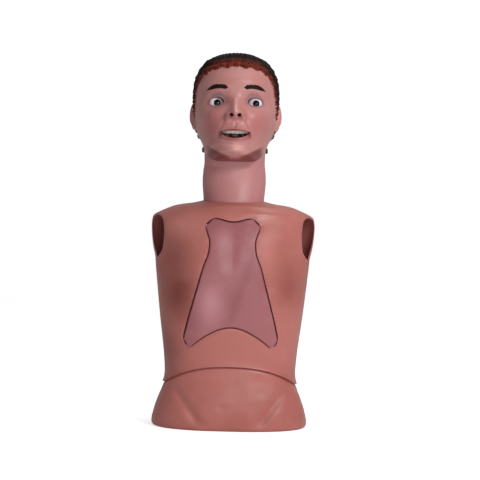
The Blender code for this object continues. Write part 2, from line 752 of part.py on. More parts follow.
stomach_route = bow(
    [
        (STOMACH_TOP[0], STOMACH_TOP[1], STOMACH_TOP[2] - 0.0021),
        (0.0080, -0.0080, 0.2120),
        (0.0140, -0.0060, 0.1910),
        (0.0080, -0.0060, 0.1715),
        (-0.0160, -0.0080, 0.1606),
        (-0.0420, -0.0090, 0.1680),
    ],
    13,
)
STOMACH_END = 0.0060
stomach_radii = []
for k in range(13):
    swell = math.sin(math.pi * (k / 12) ** 0.75) ** 0.8
    stomach_radii.append(STOMACH_END + (STOMACH_RADIUS - STOMACH_END) * swell)
stomach = curve_tube("stomach", stomach_route, stomach_radii, STOMACH, 4)
STOMACH_WALL = 0.0022
hollow_route = [(STOMACH_TOP[0], STOMACH_TOP[1], STOMACH_TOP[2] + 0.004)] + stomach_route[:-1]
hollow_radii = [STOMACH_END - STOMACH_WALL] + [radius - STOMACH_WALL for radius in stomach_radii[:-1]]
cut(stomach, curve_tube("stomach_hollow", hollow_route, hollow_radii, resolution=4))

# Neck ring, fixed under the shell's neck rim; the neck turns on its ledge
RING_WALL = 0.0045
seam_slope = 0.0055 / 0.0170


def under_shell(radius):
    drop = (radius - NECK_RADIUS + 0.0030) * seam_slope
    return SEAM_HEIGHT + 0.0010 - drop - SHELL_WALL * math.hypot(1, seam_slope) - FIT


RING_INNER = NECK_RADIUS + 0.0006
neck_ring = turned(
    "neck_ring",
    [
        (RING_FLANGE_RADIUS, under_shell(RING_FLANGE_RADIUS)),
        (RING_FLANGE_RADIUS, under_shell(RING_FLANGE_RADIUS) - 0.0035),
        (RING_INNER + RING_WALL, under_shell(RING_FLANGE_RADIUS) - 0.0035),
        (RING_INNER + RING_WALL, RING_LOW),
        (LEDGE_RADIUS, RING_LOW),
        (LEDGE_RADIUS, RING_LOW + RING_STEP),
        (RING_INNER, RING_LOW + RING_STEP),
        (RING_INNER, under_shell(RING_INNER)),
    ],
    FRAME,
    steps=36,
    at=(0.0, NECK_Y, 0.0),
)

# Neck sleeve: round at the seam, an ellipsoid dome about the tilt axle at the top
NECK_BOTTOM = RING_LOW + RING_STEP + FIT
NECK = (
    (NECK_BOTTOM, NECK_RADIUS, NECK_Y - NECK_RADIUS, NECK_Y + NECK_RADIUS),
    (SEAM_HEIGHT + 0.001, NECK_RADIUS, NECK_Y - NECK_RADIUS, NECK_Y + NECK_RADIUS),
    (0.4300, NECK_RADIUS + 0.0010, -0.0440, 0.0580),
    (0.4510, NECK_RADIUS + 0.0025, -0.0390, 0.0540),
    (0.4740, NECK_RADIUS + 0.0012, -0.0365, 0.0520),
    (TILT_HEIGHT - 0.0310, NECK_RADIUS + 0.0004, TILT_Y - 0.0442, TILT_Y + 0.0442),
    (TILT_HEIGHT - 0.0220, NECK_RADIUS - 0.0002, TILT_Y - 0.0493, TILT_Y + 0.0493),
    (TILT_HEIGHT - 0.0110, NECK_RADIUS, TILT_Y - 0.0529, TILT_Y + 0.0529),
    (TILT_HEIGHT, DOME_HALF, TILT_Y - DOME_RADIUS, TILT_Y + DOME_RADIUS),
)
NECK_COLUMNS = 28


def neck_ring_points(z, grow=0.0, columns=NECK_COLUMNS):
    if z <= TILT_HEIGHT:
        width, front, back = stations(NECK, z)
        half = (back - front) / 2 + grow
        width += grow
        middle = (front + back) / 2
    else:
        share = math.sqrt(max(0.0, 1 - ((z - TILT_HEIGHT) / (DOME_RADIUS + grow)) ** 2))
        width = (DOME_HALF + grow) * share
        half = (DOME_RADIUS + grow) * share
        middle = TILT_Y
    turns = [2 * math.pi * (k + 0.5) / columns for k in range(columns)]
    return [(width * math.cos(t), middle + half * math.sin(t), z) for t in turns]


neck_heights = [NECK_BOTTOM, SEAM_HEIGHT + 0.001, 0.430, 0.443, 0.458, 0.474]
neck_heights += [TILT_HEIGHT - drop for drop in (0.031, 0.022, 0.011, 0.0)]
neck_heights += [TILT_HEIGHT + DOME_RADIUS * math.sin(math.radians(turn)) for turn in (12, 25, 38)]
neck_sleeve = loft("neck_sleeve", [neck_ring_points(z) for z in neck_heights], SKIN, caps=(False, False))
solidify(neck_sleeve, NECK_WALL)
flange = turned(
    "neck_flange",
    pipe(NECK_RADIUS - NECK_WALL + 0.0010, NECK_FLANGE_RADIUS, NECK_BOTTOM, NECK_BOTTOM + 0.005),
    steps=NECK_COLUMNS,
    at=(0.0, NECK_Y, 0.0),
)
join(neck_sleeve, flange)
DOME_FRONT = -0.0040
DOME_BACK = 0.0255
dome_cutter = block("dome_cutter", (-0.08, -0.09, 0.0), (0.08, 0.09, 0.08))
dome_cutter.location = (0.0, TILT_Y, TILT_HEIGHT + (DOME_FRONT + DOME_BACK) / 2)
dome_cutter.rotation_euler = (math.atan2(DOME_BACK - DOME_FRONT, 0.098), 0.0, 0.0)
cut(neck_sleeve, dome_cutter)
TILT_AT = (0.0, TILT_Y, TILT_HEIGHT)
axle_bore = cylinder("axle_bore", AXLE_RADIUS + RUNNING, -0.1, 0.1, steps=20, at=TILT_AT, along="X")
cut(neck_sleeve, axle_bore)

# Neck retainer: a disc under the ledge, with spigots for both hoses above and below
RETAINER_TOP = RING_LOW - FIT
RETAINER_LOW = RETAINER_TOP - RETAINER_WALL
neck_retainer = turned(
    "neck_retainer",
    [
        (0.0, NECK_BOTTOM - FIT),
        (LEDGE_RADIUS - FIT, NECK_BOTTOM - FIT),
        (LEDGE_RADIUS - FIT, RETAINER_TOP),
        (LEDGE_RADIUS + 0.0050, RETAINER_TOP),
        (LEDGE_RADIUS + 0.0050, RETAINER_LOW),
        (0.0, RETAINER_LOW),
    ],
    FRAME,
    steps=28,
    at=(0.0, NECK_Y, 0.0),
)
SPIGOT_TOP = NECK_BOTTOM + SPIGOT_LENGTH
SPIGOT_LOW = RETAINER_LOW - SPIGOT_LENGTH
TUBES = (
    ("windpipe", WINDPIPE_Y, WINDPIPE_RADIUS, WINDPIPE_BORE),
    ("gullet", GULLET_Y, GULLET_RADIUS, GULLET_BORE),
)
for word, y, outer, bore in TUBES:
    wall = bore + SPIGOT_WALL
    spigot = cylinder(word + "_spigot", wall, SPIGOT_LOW, SPIGOT_TOP, steps=20, at=(0.0, y, 0.0))
    join(neck_retainer, spigot)
for word, y, outer, bore in TUBES:
    low, high = SPIGOT_LOW - 0.010, SPIGOT_TOP + 0.010
    hole = cylinder(word + "_spigot_bore", bore, low, high, steps=20, at=(0.0, y, 0.0))
    cut(neck_retainer, hole)

SCREW_RADIUS = 0.0015
SCREW_CIRCLE = (NECK_FLANGE_RADIUS + LEDGE_RADIUS - FIT) / 2
for number in range(3):
    turn = math.radians(90 + 120 * number)
    place = (SCREW_CIRCLE * math.cos(turn), NECK_Y + SCREW_CIRCLE * math.sin(turn), 0.0)
    profile = [
        (0.0, NECK_BOTTOM + 0.004),
        (SCREW_RADIUS, NECK_BOTTOM + 0.004),
        (SCREW_RADIUS, RETAINER_LOW - FIT),
        (SCREW_RADIUS * 2, RETAINER_LOW - FIT),
        (SCREW_RADIUS * 2, RETAINER_LOW - 0.0022),
        (0.0, RETAINER_LOW - 0.0022),
    ]
    turned(f"retainer_screw_{number + 1}", profile, STEEL, steps=12, at=place)
    low, high = RETAINER_LOW - 0.015, NECK_BOTTOM + 0.0045
    hole = cylinder(f"screw_hole_{number + 1}", SCREW_RADIUS + RUNNING, low, high, steps=12, at=place)
    cut(neck_retainer, hole)
    cut(neck_sleeve, hole)


def ribbed(outer, bore, low, high, pitch):
    """Profile of a corrugated hose, outer side first and downwards, then the plain bore."""
    count = max(2, round((high - low) / pitch))
    points = []
    for k in range(2 * count + 1):
        crest = outer if k % 2 else outer - 0.0009
        points.append((crest, high - (high - low) * k / (2 * count)))
    return points + [(bore, low), (bore, high)]


HOSE_HIGH = THROAT_LOW - FIT
for word, y, outer, bore in TUBES:
    inner = bore + SPIGOT_WALL + FIT
    upper = ribbed(outer, inner, NECK_BOTTOM + 0.0005, HOSE_HIGH, 0.0125)
    turned(word + "_upper_hose", upper, TUBE, steps=12, at=(0.0, y, 0.0))
    lower = ribbed(outer, inner, HOSE_BOTTOM, RETAINER_LOW - FIT, 0.0125)
    turned(word + "_lower_hose", lower, TUBE, steps=12, at=(0.0, y, 0.0))

# Tilt axle with its black knobs and the spacers that centre the skull frame
KNOB_INNER = DOME_HALF + FIT
KNOB_OUTER = KNOB_INNER + KNOB_LENGTH
AXLE_HALF = KNOB_INNER - FIT
cylinder("tilt_axle", AXLE_RADIUS, -AXLE_HALF, AXLE_HALF, STEEL, 20, (0.0, TILT_Y, TILT_HEIGHT), "X")
CHEEK_INNER = THROAT_HALF + FIT
CHEEK_WALL = 0.0030
CHEEK_OUTER = CHEEK_INNER + CHEEK_WALL
for side, word in ((-1, "left"), (1, "right")):
    low, high = sorted((side * KNOB_INNER, side * KNOB_OUTER))
    dome = [(0.0, high), (KNOB_RADIUS, high), (KNOB_RADIUS, low), (0.0, low)]
    if side > 0:
        dome[1:2] = [(KNOB_RADIUS * 0.7, high), (KNOB_RADIUS, high - 0.0012)]
    else:
        dome[2:3] = [(KNOB_RADIUS, low + 0.0012), (KNOB_RADIUS * 0.7, low)]
    turned("axle_knob_" + word, dome, BLACK, 20, (0.0, TILT_Y, TILT_HEIGHT), "X")
    low, high = sorted((side * (CHEEK_OUTER + FIT), side * (DOME_HALF - NECK_WALL - 0.0012)))
    sleeve = pipe(0.0075, AXLE_RADIUS + RUNNING, low, high)
    turned("axle_spacer_" + word, sleeve, FRAME, 20, (0.0, TILT_Y, TILT_HEIGHT), "X")

# Head surface in its own upright frame: the ear line is the origin, the face looks to -Y
# Height, half width, front, back, squareness of the front
HEAD = (
    (-0.0840, 0.0400, -0.0480, 0.0440, 2.0),
    (-0.0825, 0.0450, -0.0680, 0.0470, 2.0),
    (-0.0790, 0.0490, -0.0800, 0.0500, 2.0),
    (-0.0730, 0.0520, -0.0860, 0.0520, 1.95),
    (-0.0650, 0.0545, -0.0870, 0.0550, 1.90),
    (-0.0590, 0.0565, -0.0880, 0.0580, 1.90),
    (-0.0500, 0.0590, -0.0910, 0.0630, 1.95),
    (-0.0390, 0.0620, -0.0930, 0.0690, 2.0),
    (-0.0270, 0.0665, -0.0930, 0.0750, 2.0),
    (-0.0040, 0.0735, -0.0900, 0.0850, 2.1),
    (0.0310, 0.0765, -0.0910, 0.0930, 2.2),
    (0.0540, 0.0765, -0.0910, 0.0950, 2.2),
    (0.0777, 0.0750, -0.0850, 0.0920, 2.1),
    (0.0890, 0.0720, -0.0800, 0.0880, 2.0),
    (0.1010, 0.0665, -0.0710, 0.0800, 2.0),
    (0.1120, 0.0580, -0.0590, 0.0680, 2.0),
    (0.1200, 0.0470, -0.0460, 0.0560, 2.0),
    (0.1260, 0.0310, -0.0300, 0.0390, 2.0),
    (0.1285, 0.0160, -0.0140, 0.0200, 2.0),
    (0.1290, 0.0060, -0.0020, 0.0080, 2.0),
)

# Hairline height against the angle from the face, in degrees
HAIRLINE = (
    (0, 25, 45, 60, 70, 80, 88, 100, 120, 150, 180),
    (0.071, 0.070, 0.062, 0.050, 0.030, 0.004, 0.006, -0.004, -0.026, -0.034, -0.036),
)


def hair_share(point):
    """1 inside the hair, 0 on bare skin."""
    turn = math.degrees(math.atan2(abs(point.x), -point.y))
    scallop = 0.0030 * math.sin(turn * 0.55)
    return step((point.z - smooth(*HAIRLINE, turn) - scallop) / 0.0040)


def curls(point):
    """Waves in the moulded hair, fading out at the crown."""
    turn = math.atan2(point.x, -point.y)
    wave = math.sin(9 * turn + 60 * point.z) * math.sin(95 * point.z + 1.5 * math.sin(5 * turn))
    return 0.0016 * wave * step((0.1240 - point.z) / 0.0200)


def face_relief(x, z):
    """How far the face stands out of the plain skull: nose, brows, sockets, cheeks, lips, chin."""
    side = abs(x)
    nose = step((0.026 - z) / 0.040) * step((z + 0.0245) / 0.0120)
    ridge = 0.0085 + 0.0050 * step((0.010 - z) / 0.025)
    rise = (0.0035 + 0.0170 * step((0.022 - z) / 0.034)) * nose * math.exp(-((side / ridge) ** 2.6))
    rise += 0.0085 * bump(side, z, 0.0135, -0.0135, 0.0065, 0.0075)
    rise -= 0.0100 * bump(side, z, 0.0340, 0.0160, 0.0160, 0.0115)
    rise -= 0.0030 * bump(side, z, 0.0180, 0.0180, 0.0080, 0.0100)
    rise += 0.0040 * bump(side, z, 0.0270, 0.0390, 0.0200, 0.0070)
    rise += 0.0050 * bump(side, z, 0.0450, -0.0080, 0.0160, 0.0150)
    rise += 0.0055 * bump(x, z, 0.0, -0.0500, 0.0280, 0.0170)
    rise += 0.0030 * bump(x, z, 0.0, -0.0435, 0.0210, 0.0035)
    rise += 0.0045 * bump(x, z, 0.0, -0.0600, 0.0180, 0.0035)
    rise -= 0.0035 * bump(x, z, 0.0, -0.0670, 0.0160, 0.0035)
    rise += 0.0050 * bump(x, z, 0.0, -0.0760, 0.0160, 0.0070)
    rise -= 0.0015 * bump(x, z, 0.0, -0.0310, 0.0030, 0.0080)
    return rise


def head_section(angle, z, inset=0.0, face_inset=None):
    width, front, back, square = stations(HEAD, z)
    centre = 0.010 * step((z + 0.06) / 0.06)
    width -= inset
    forward = centre - front - (inset if face_inset is None else face_inset)
    backward = back - centre - inset
    if math.sin(angle) < 0:
        x = width * power(math.cos(angle), 2 / square)
        y = centre + forward * power(math.sin(angle), 2 / square)
    else:
        x = width * math.cos(angle)
        y = centre + backward * math.sin(angle)
    return Vector((x, y, z))


def head_point(angle, z):
    point = head_section(angle, z)
    outward = Vector((point.x, point.y, max(0.0, z - 0.06) * 1.5)).normalized()
    if math.sin(angle) < 0:
        point.y -= face_relief(point.x, z) * step(-math.sin(angle) / 0.3)
    hair = hair_share(point)
    return point + outward * hair * (0.0030 + curls(point))


def head_angles(front_steps=12, back_steps=5):
    """Angles round the head, close together over the face."""
    quarter = [90 * (0.42 * t + 0.58 * t * t) for t in [k / front_steps for k in range(front_steps)]]
    turns = [-90 + turn for turn in quarter]
    turns += [90 * k / back_steps for k in range(back_steps)]
    turns += [90 + 90 * k / back_steps for k in range(back_steps)]
    turns += [270 - turn for turn in reversed(quarter[1:] + [90.0])]
    return [math.radians(turn) for turn in turns]


HEAD_ANGLES = head_angles()
head_heights = [-0.0840, -0.0825, -0.0800]
head_heights += [-0.0765 + 0.0047 * k for k in range(26)]
head_heights += [0.0500, 0.0590, 0.0680, 0.0770, 0.0870, 0.0970, 0.1070]
head_heights += [0.1160, 0.1230, 0.1265, 0.1285, 0.1290]


def tilt(point):
    """From the ear-line frame to the frame whose origin is the tilt axle."""
    return Vector(point) + EAR_LINE


def on_head(piece):
    """Seat a piece, made in the axle's frame, at the head's rest tilt."""
    piece.location = (0.0, TILT_Y, TILT_HEIGHT)
    piece.rotation_euler = (TILT_REST, 0.0, 0.0)
    return piece


head_rings = [[tilt(head_point(angle, z)) for angle in HEAD_ANGLES] for z in head_heights]
head_skin = on_head(loft("head_skin", head_rings, FACE))

cavity_rings = []
for z in head_heights[::3] + head_heights[-1:]:
    height = -0.0840 + (z + 0.0840) * (0.2075 / 0.2130)
    ring = [head_section(angle, height, HEAD_WALL, FACE_WALL) for angle in HEAD_ANGLES[::2]]
    cavity_rings.append([tilt(point) for point in ring])
cavity = on_head(loft("head_cavity", cavity_rings))


def ear(side, word):
    """An ear moulded on the head: a tilted oval lobe with a hollow in its outer face."""
    at = tilt((side * 0.0750, 0.0080, 0.0110))
    lobe = ball("ear_lobe_" + word, (0, 0, 0), (0.0085, 0.0180, 0.0315), None, 16, 12)
    dent = ball("ear_hollow_" + word, (side * 0.0085, -0.0015, 0.0030), (0.0055, 0.0115, 0.0200), None, 12, 8)
    for piece in (lobe, dent):
        turn = Matrix.Rotation(side * math.radians(14), 4, "Z") @ Matrix.Rotation(math.radians(-8), 4, "X")
        piece.data.transform(Matrix.Translation(at) @ turn)
        on_head(piece)
    join(head_skin, lobe)
    cut(head_skin, dent)


ear(-1, "left")
ear(1, "right")
cut(head_skin, cavity)

# Room for the neck at each end of the tilt, and the rim's wedge about the axle
clear_heights = [0.40, 0.43, 0.451, 0.474] + [TILT_HEIGHT - drop for drop in (0.031, 0.022, 0.011, 0.0)]
ROOM_RADIUS = DOME_RADIUS + HEAD_CLEARANCE
clear_heights += [TILT_HEIGHT + ROOM_RADIUS * math.sin(math.radians(t)) for t in (15, 30, 45, 60, 75, 86)]
for number, turn in enumerate((TILT_BACK, 0.0, TILT_FORWARD)):
    rings = [neck_ring_points(z, HEAD_CLEARANCE, 22) for z in clear_heights]
    room = loft(f"neck_room_{number}", rings)
    pivot_on(room, (0.0, TILT_Y, TILT_HEIGHT), -turn)
    cut(head_skin, room)

WEDGE_FRONT = math.radians(39)
WEDGE_BACK = math.radians(-12)
WEDGE_APEX = KNOB_RADIUS + 0.0030
wedge_outline = [
    (0.0, WEDGE_APEX),
    (-0.16 * math.cos(WEDGE_FRONT), WEDGE_APEX - 0.16 * math.sin(WEDGE_FRONT)),
    (-0.10, -0.20),
    (0.12, -0.20),
    (0.16 * math.cos(WEDGE_BACK), WEDGE_APEX - 0.16 * math.sin(WEDGE_BACK)),
]
wedge = slab("rim_wedge", wedge_outline, 0.2)
UPRIGHT = Matrix(((0, 0, 1, 0), (1, 0, 0, 0), (0, 1, 0, 0), (0, 0, 0, 1)))
wedge.data.transform(UPRIGHT)
on_head(wedge)
cut(head_skin, wedge)

# Eyes in their sockets, and the almond openings between the lids
LID_HALF = 0.0140
LID_UPPER = 0.0062
LID_LOWER = 0.0052
for side, word in ((-1, "left"), (1, "right")):
    centre = tilt((side * EYE_X, EYE_Y, EYE_Z))
    on_head(ball("eye_" + word, centre, [EYE_RADIUS] * 3, EYE, 16, 10))
    socket = on_head(ball("socket_" + word, centre, [EYE_RADIUS + RUNNING] * 3, None, 16, 10))
    almond = []
    for k in range(16):
        turn = 2 * math.pi * k / 16
        reach = LID_UPPER if math.sin(turn) > 0 else LID_LOWER
        almond.append((side * EYE_X + LID_HALF * math.cos(turn), EYE_Z + reach * math.sin(turn)))
    rings = [[tilt((x, y, z)) for x, z in almond] for y in (-0.110, EYE_Y)]
    opening = on_head(loft("lids_" + word, rings))
    cut(head_skin, socket, opening)

# Mouth: the lips' opening and the round pocket behind them for the teeth
MOUTH_HALF = 0.0285
MOUTH_TOP = -0.0462
MOUTH_CORNER = -0.0480
MOUTH_BOTTOM = -0.0578
lips = []
for k in range(13):
    share = -1 + k / 6
    sag = (MOUTH_BOTTOM - MOUTH_CORNER) * (1 - share * share) ** 0.8
    lips.append((share * MOUTH_HALF, MOUTH_CORNER + sag))
for k in range(1, 12):
    share = 1 - k / 6
    lips.append((share * MOUTH_HALF, MOUTH_CORNER + (MOUTH_TOP - MOUTH_CORNER) * (1 - share**4)))
mouth_rings = [[tilt((x, y, z)) for x, z in lips] for y in (-0.130, -0.070)]
mouth_opening = on_head(loft("mouth_opening", mouth_rings))
POCKET_AT = (0.0, TOOTH_ARCH_Y, MOUTH_HEIGHT)
pocket = cylinder("tooth_pocket", POCKET_RADIUS, -0.0185, 0.0175, steps=28, at=POCKET_AT)
cut(head_skin, mouth_opening, pocket)

# Nostrils run into the nasal passages, a pair of ducts that seat in the skin and in the throat
DUCT_FRONT = -0.0790
for side, word in ((-1, "left"), (1, "right")):
    where = (side * NOSTRIL_X, 0.0, DUCT_HEIGHT)
    nostril = cylinder("nostril_" + word, NOSTRIL_RADIUS, 0.02, 0.14, steps=16, at=where, along="Y")
    fit = DUCT_RADIUS + RUNNING
    seat = cylinder("duct_seat_" + word, fit, 0.02, -DUCT_FRONT, steps=16, at=where, along="Y")
    cut(head_skin, nostril, seat)

THROAT_FRONT = THROAT_Y - THROAT_HALF_DEPTH
DUCT_BACK = THROAT_FRONT + THROAT_WALL - 0.0004
nasal_passages = block(
    "nasal_passages",
    (-NOSTRIL_X, DUCT_FRONT + 0.012, DUCT_HEIGHT - 0.0015),
    (NOSTRIL_X, THROAT_FRONT - FIT, DUCT_HEIGHT + 0.0015),
    GUM,
)
for side, word in ((-1, "left"), (1, "right")):
    where = (side * NOSTRIL_X, 0.0, DUCT_HEIGHT)
    low, high = -DUCT_BACK, -DUCT_FRONT - RUNNING
    duct = cylinder("duct_" + word, DUCT_RADIUS, low, high, steps=16, at=where, along="Y")
    join(nasal_passages, duct)
for side, word in ((-1, "left"), (1, "right")):
    where = (side * NOSTRIL_X, 0.0, DUCT_HEIGHT)
    bore = cylinder("duct_bore_" + word, NOSTRIL_RADIUS, -0.02, 0.1, steps=16, at=where, along="Y")
    cut(nasal_passages, bore)


# Throat: an upright oval bag with a mouth window, two duct holes and two nipples underneath
def oval(half, depth, middle, z, count=16, square=2.6):
    turns = [2 * math.pi * (k + 0.5) / count for k in range(count)]
    return [
        (half * power(math.cos(t), 2 / square), middle + depth * power(math.sin(t), 2 / square), z)
        for t in turns
    ]


def throat_rings(shrink):
    low, high = THROAT_LOW + shrink, THROAT_HIGH - shrink
    half, depth = THROAT_HALF - shrink, THROAT_HALF_DEPTH - shrink
    rings = [oval(half, depth, THROAT_Y, z) for z in (low, high - 0.014)]
    for turn in (30, 55, 75):
        share = math.cos(math.radians(turn))
        rise = 0.014 * math.sin(math.radians(turn))
        rings.append(oval(half * share, depth * share, THROAT_Y, high - 0.014 + rise))
    return rings


throat = loft("throat", throat_rings(0.0), GUM)
for word, y, outer, bore in TUBES:
    low, high = THROAT_LOW - 0.009, THROAT_LOW + 0.001
    nipple = cylinder(word + "_nipple", bore + SPIGOT_WALL, low, high, steps=20, at=(0.0, y, 0.0))
    join(throat, nipple)
cut(throat, loft("throat_hollow", throat_rings(THROAT_WALL)))
for word, y, outer, bore in TUBES:
    low, high = THROAT_LOW - 0.020, THROAT_LOW + 0.004
    hole = cylinder(word + "_nipple_bore", bore, low, high, steps=20, at=(0.0, y, 0.0))
    cut(throat, hole)
WINDOW_HALF = 0.0155
WINDOW_LOW = MOUTH_HEIGHT - 0.0100
WINDOW_HIGH = MOUTH_HEIGHT + 0.0130
mouth_window = block(
    "throat_window",
    (-WINDOW_HALF, THROAT_FRONT - 0.01, WINDOW_LOW),
    (WINDOW_HALF, THROAT_FRONT + THROAT_WALL + 0.002, WINDOW_HIGH),
)
cut(throat, mouth_window)
for side, word in ((-1, "left"), (1, "right")):
    where = (side * NOSTRIL_X, 0.0, DUCT_HEIGHT)
    fit = DUCT_RADIUS + RUNNING
    hole = cylinder("throat_duct_hole_" + word, fit, 0.022, 0.05, steps=16, at=where, along="Y")
    cut(throat, hole)

# Mouth lining: a flattened funnel from behind the teeth to the throat's window
LINING_FRONT = -0.0600
LINING_WALL = 0.0020
LINING_CENTRE = MOUTH_HEIGHT + 0.0015


def lining_rings(shrink, front, back):
    rings = []
    for share in (0.0, 0.3, 0.65, 1.0):
        y = front + share * (back - front)
        half = 0.0280 - 0.0080 * step(share) - shrink
        rise = 0.0180 - 0.0020 * share - shrink
        turns = [2 * math.pi * (k + 0.5) / 24 for k in range(24)]
        ring = [(half * power(math.cos(t), 0.8), rise * power(math.sin(t), 0.8)) for t in turns]
        rings.append([(x, y, LINING_CENTRE + z) for x, z in ring])
    return rings


mouth_lining = loft("mouth_lining", lining_rings(0.0, LINING_FRONT, THROAT_FRONT - FIT), GUM)
cut(mouth_lining, loft("lining_hollow", lining_rings(LINING_WALL, LINING_FRONT - 0.01, THROAT_FRONT + 0.01)))

# Tongue: a cage smoothed by subdivision, lying on the lining's floor
TONGUE_FLOOR = LINING_CENTRE - 0.0180 + LINING_WALL + FIT
tongue = block("tongue", (-0.0160, -0.0830, TONGUE_FLOOR), (0.0160, -0.0400, TONGUE_FLOOR + 0.0115), GUM)
round_off = tongue.modifiers.new("round", "SUBSURF")
round_off.levels = 2
round_off.render_levels = 2


def tooth_arch(name, low, high):
    """A horseshoe whose front edge swells at each tooth; its legs end at the lining."""
    outer, inner = [], []
    teeth = 10
    steps = teeth * 4
    leg = LINING_FRONT - FIT - TOOTH_ARCH_Y
    for k in range(steps + 1):
        turn = math.pi + math.pi * k / steps
        swell = 0.0009 * abs(math.sin(teeth * (turn - math.pi) / 1.0))
        reach = TOOTH_ARCH_RADIUS - 0.0006 + swell
        outer.append((reach * math.cos(turn), TOOTH_ARCH_Y + reach * math.sin(turn)))
        if k % 2 == 0:
            reach = TOOTH_ARCH_RADIUS - TOOTH_DEPTH
            inner.append((reach * math.cos(turn), TOOTH_ARCH_Y + reach * math.sin(turn)))
    outline = [(-TOOTH_ARCH_RADIUS + 0.0006, TOOTH_ARCH_Y + leg)] + outer
    outline += [(TOOTH_ARCH_RADIUS - 0.0006, TOOTH_ARCH_Y + leg)]
    outline += [(TOOTH_ARCH_RADIUS - TOOTH_DEPTH, TOOTH_ARCH_Y + leg)] + list(reversed(inner))
    outline += [(-TOOTH_ARCH_RADIUS + TOOTH_DEPTH, TOOTH_ARCH_Y + leg)]
    return slab(name, outline, high - low, TOOTH, at=(0.0, 0.0, (low + high) / 2))


upper_teeth = tooth_arch("upper_teeth", MOUTH_HEIGHT + 0.0022, MOUTH_HEIGHT + 0.0120)
lower_teeth = tooth_arch("lower_teeth", MOUTH_HEIGHT - 0.0175, MOUTH_HEIGHT - 0.0078)

# Larynx collar round the windpipe's mouth, and the epiglottis leaf in front of it
THROAT_FLOOR = THROAT_LOW + THROAT_WALL + FIT
larynx = turned(
    "larynx",
    [
        (0.0062, THROAT_FLOOR + 0.0080),
        (0.0074, THROAT_FLOOR),
        (0.0050, THROAT_FLOOR),
        (0.0040, THROAT_FLOOR + 0.0080),
    ],
    GUM,
    steps=20,
    at=(0.0, WINDPIPE_Y, 0.0),
)
leaf_side = [(0.0050, 0.0), (0.0065, 0.0080), (0.0048, 0.0140)]
leaf = leaf_side + [(0.0, 0.0165)] + [(-x, z) for x, z in reversed(leaf_side)]
epiglottis = slab("epiglottis", leaf, 0.0012, GUM, bevel=0.0)
epiglottis.location = (0.0, WINDPIPE_Y - 0.0050, THROAT_FLOOR + 0.0086)
epiglottis.rotation_euler = (math.radians(78), 0.0, 0.0)

# Skull frame: two cheeks on the axle, a rear bar, and an oval plate that fits the head's hollow
SKULL_HEIGHT = 0.0470
plate_rings = []
for z in (SKULL_HEIGHT, SKULL_HEIGHT + 0.0035):
    edge = [head_section(angle, z, HEAD_WALL + FIT, FACE_WALL + FIT) for angle in HEAD_ANGLES[::2]]
    plate_rings.append([tilt(point) for point in edge])
skull_frame = on_head(loft("skull_frame", plate_rings, FRAME))
PLATE_UNDER = EAR_LINE.z + SKULL_HEIGHT + 0.0010
cheek_outline = [
    (-0.0100, -0.0030),
    (-0.0070, -0.0075),
    (0.0, -0.0105),
    (0.0070, -0.0075),
    (0.0105, -0.0010),
    (0.0105, 0.0470),
    (0.0115, 0.0560),
    (0.0300, 0.0700),
    (0.0300, PLATE_UNDER),
    (-0.0330, PLATE_UNDER),
    (-0.0460, 0.0640),
    (-0.0330, 0.0360),
]
for side, word in ((-1, "left"), (1, "right")):
    cheek = slab("cheek_" + word, cheek_outline, CHEEK_WALL)
    cheek.data.transform(UPRIGHT)
    cheek.data.transform(Matrix.Translation((side * (CHEEK_INNER + CHEEK_WALL / 2), 0.0, 0.0)))
    on_head(cheek)
    join(skull_frame, cheek)
rear_bar = on_head(block("rear_bar", (-CHEEK_OUTER, 0.0240, 0.0700), (CHEEK_OUTER, 0.0275, PLATE_UNDER)))
join(skull_frame, rear_bar)
cut(skull_frame, axle_bore)

# Each moving piece hangs from the empty on its joint's axis
NECK_PIECES = ("neck_sleeve", "neck_retainer", "retainer_screw", "tilt_axle", "axle_knob", "axle_spacer")
NECK_PIECES += ("windpipe_upper_hose", "gullet_upper_hose")
HEAD_PIECES = ("head_skin", "eye", "nasal_passages", "throat", "mouth_lining", "tongue", "upper_teeth")
HEAD_PIECES += ("lower_teeth", "larynx", "epiglottis", "skull_frame")
JOINT_PLACES = (
    ("neck_turn_axis", (0.0, NECK_Y, SEAM_HEIGHT), NECK_PIECES),
    ("head_tilt_axis", (0.0, TILT_Y, TILT_HEIGHT), HEAD_PIECES),
    ("chest_plate_lift_axis", (0.0, -0.100, 0.260), ("chest_plate",)),
)
for word, place, starts in JOINT_PLACES:
    axis = bpy.data.objects.new(word, None)
    axis.location = place
    axis.empty_display_size = 0.03
    for piece in MANIKIN.objects:
        if piece.type == "MESH" and piece.name.startswith(starts):
            piece.parent = axis
            piece.matrix_parent_inverse = Matrix.Translation(place).inverted()
    MANIKIN.objects.link(axis)
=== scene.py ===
import math

import bmesh
import bpy
import numpy as np
from mathutils import Matrix, Vector
from mathutils.kdtree import KDTree


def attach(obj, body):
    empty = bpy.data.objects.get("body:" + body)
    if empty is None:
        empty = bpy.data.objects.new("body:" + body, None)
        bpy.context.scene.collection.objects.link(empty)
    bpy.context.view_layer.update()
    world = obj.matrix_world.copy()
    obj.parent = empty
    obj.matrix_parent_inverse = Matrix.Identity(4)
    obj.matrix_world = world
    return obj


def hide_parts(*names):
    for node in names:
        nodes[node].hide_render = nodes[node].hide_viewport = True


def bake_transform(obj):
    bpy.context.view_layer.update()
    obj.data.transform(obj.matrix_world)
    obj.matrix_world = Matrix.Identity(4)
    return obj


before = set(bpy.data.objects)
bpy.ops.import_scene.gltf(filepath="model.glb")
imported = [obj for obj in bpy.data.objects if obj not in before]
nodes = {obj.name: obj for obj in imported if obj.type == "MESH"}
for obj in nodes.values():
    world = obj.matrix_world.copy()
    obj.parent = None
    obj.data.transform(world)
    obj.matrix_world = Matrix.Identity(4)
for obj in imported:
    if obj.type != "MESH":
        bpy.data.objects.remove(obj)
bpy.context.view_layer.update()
scene = bpy.context.scene

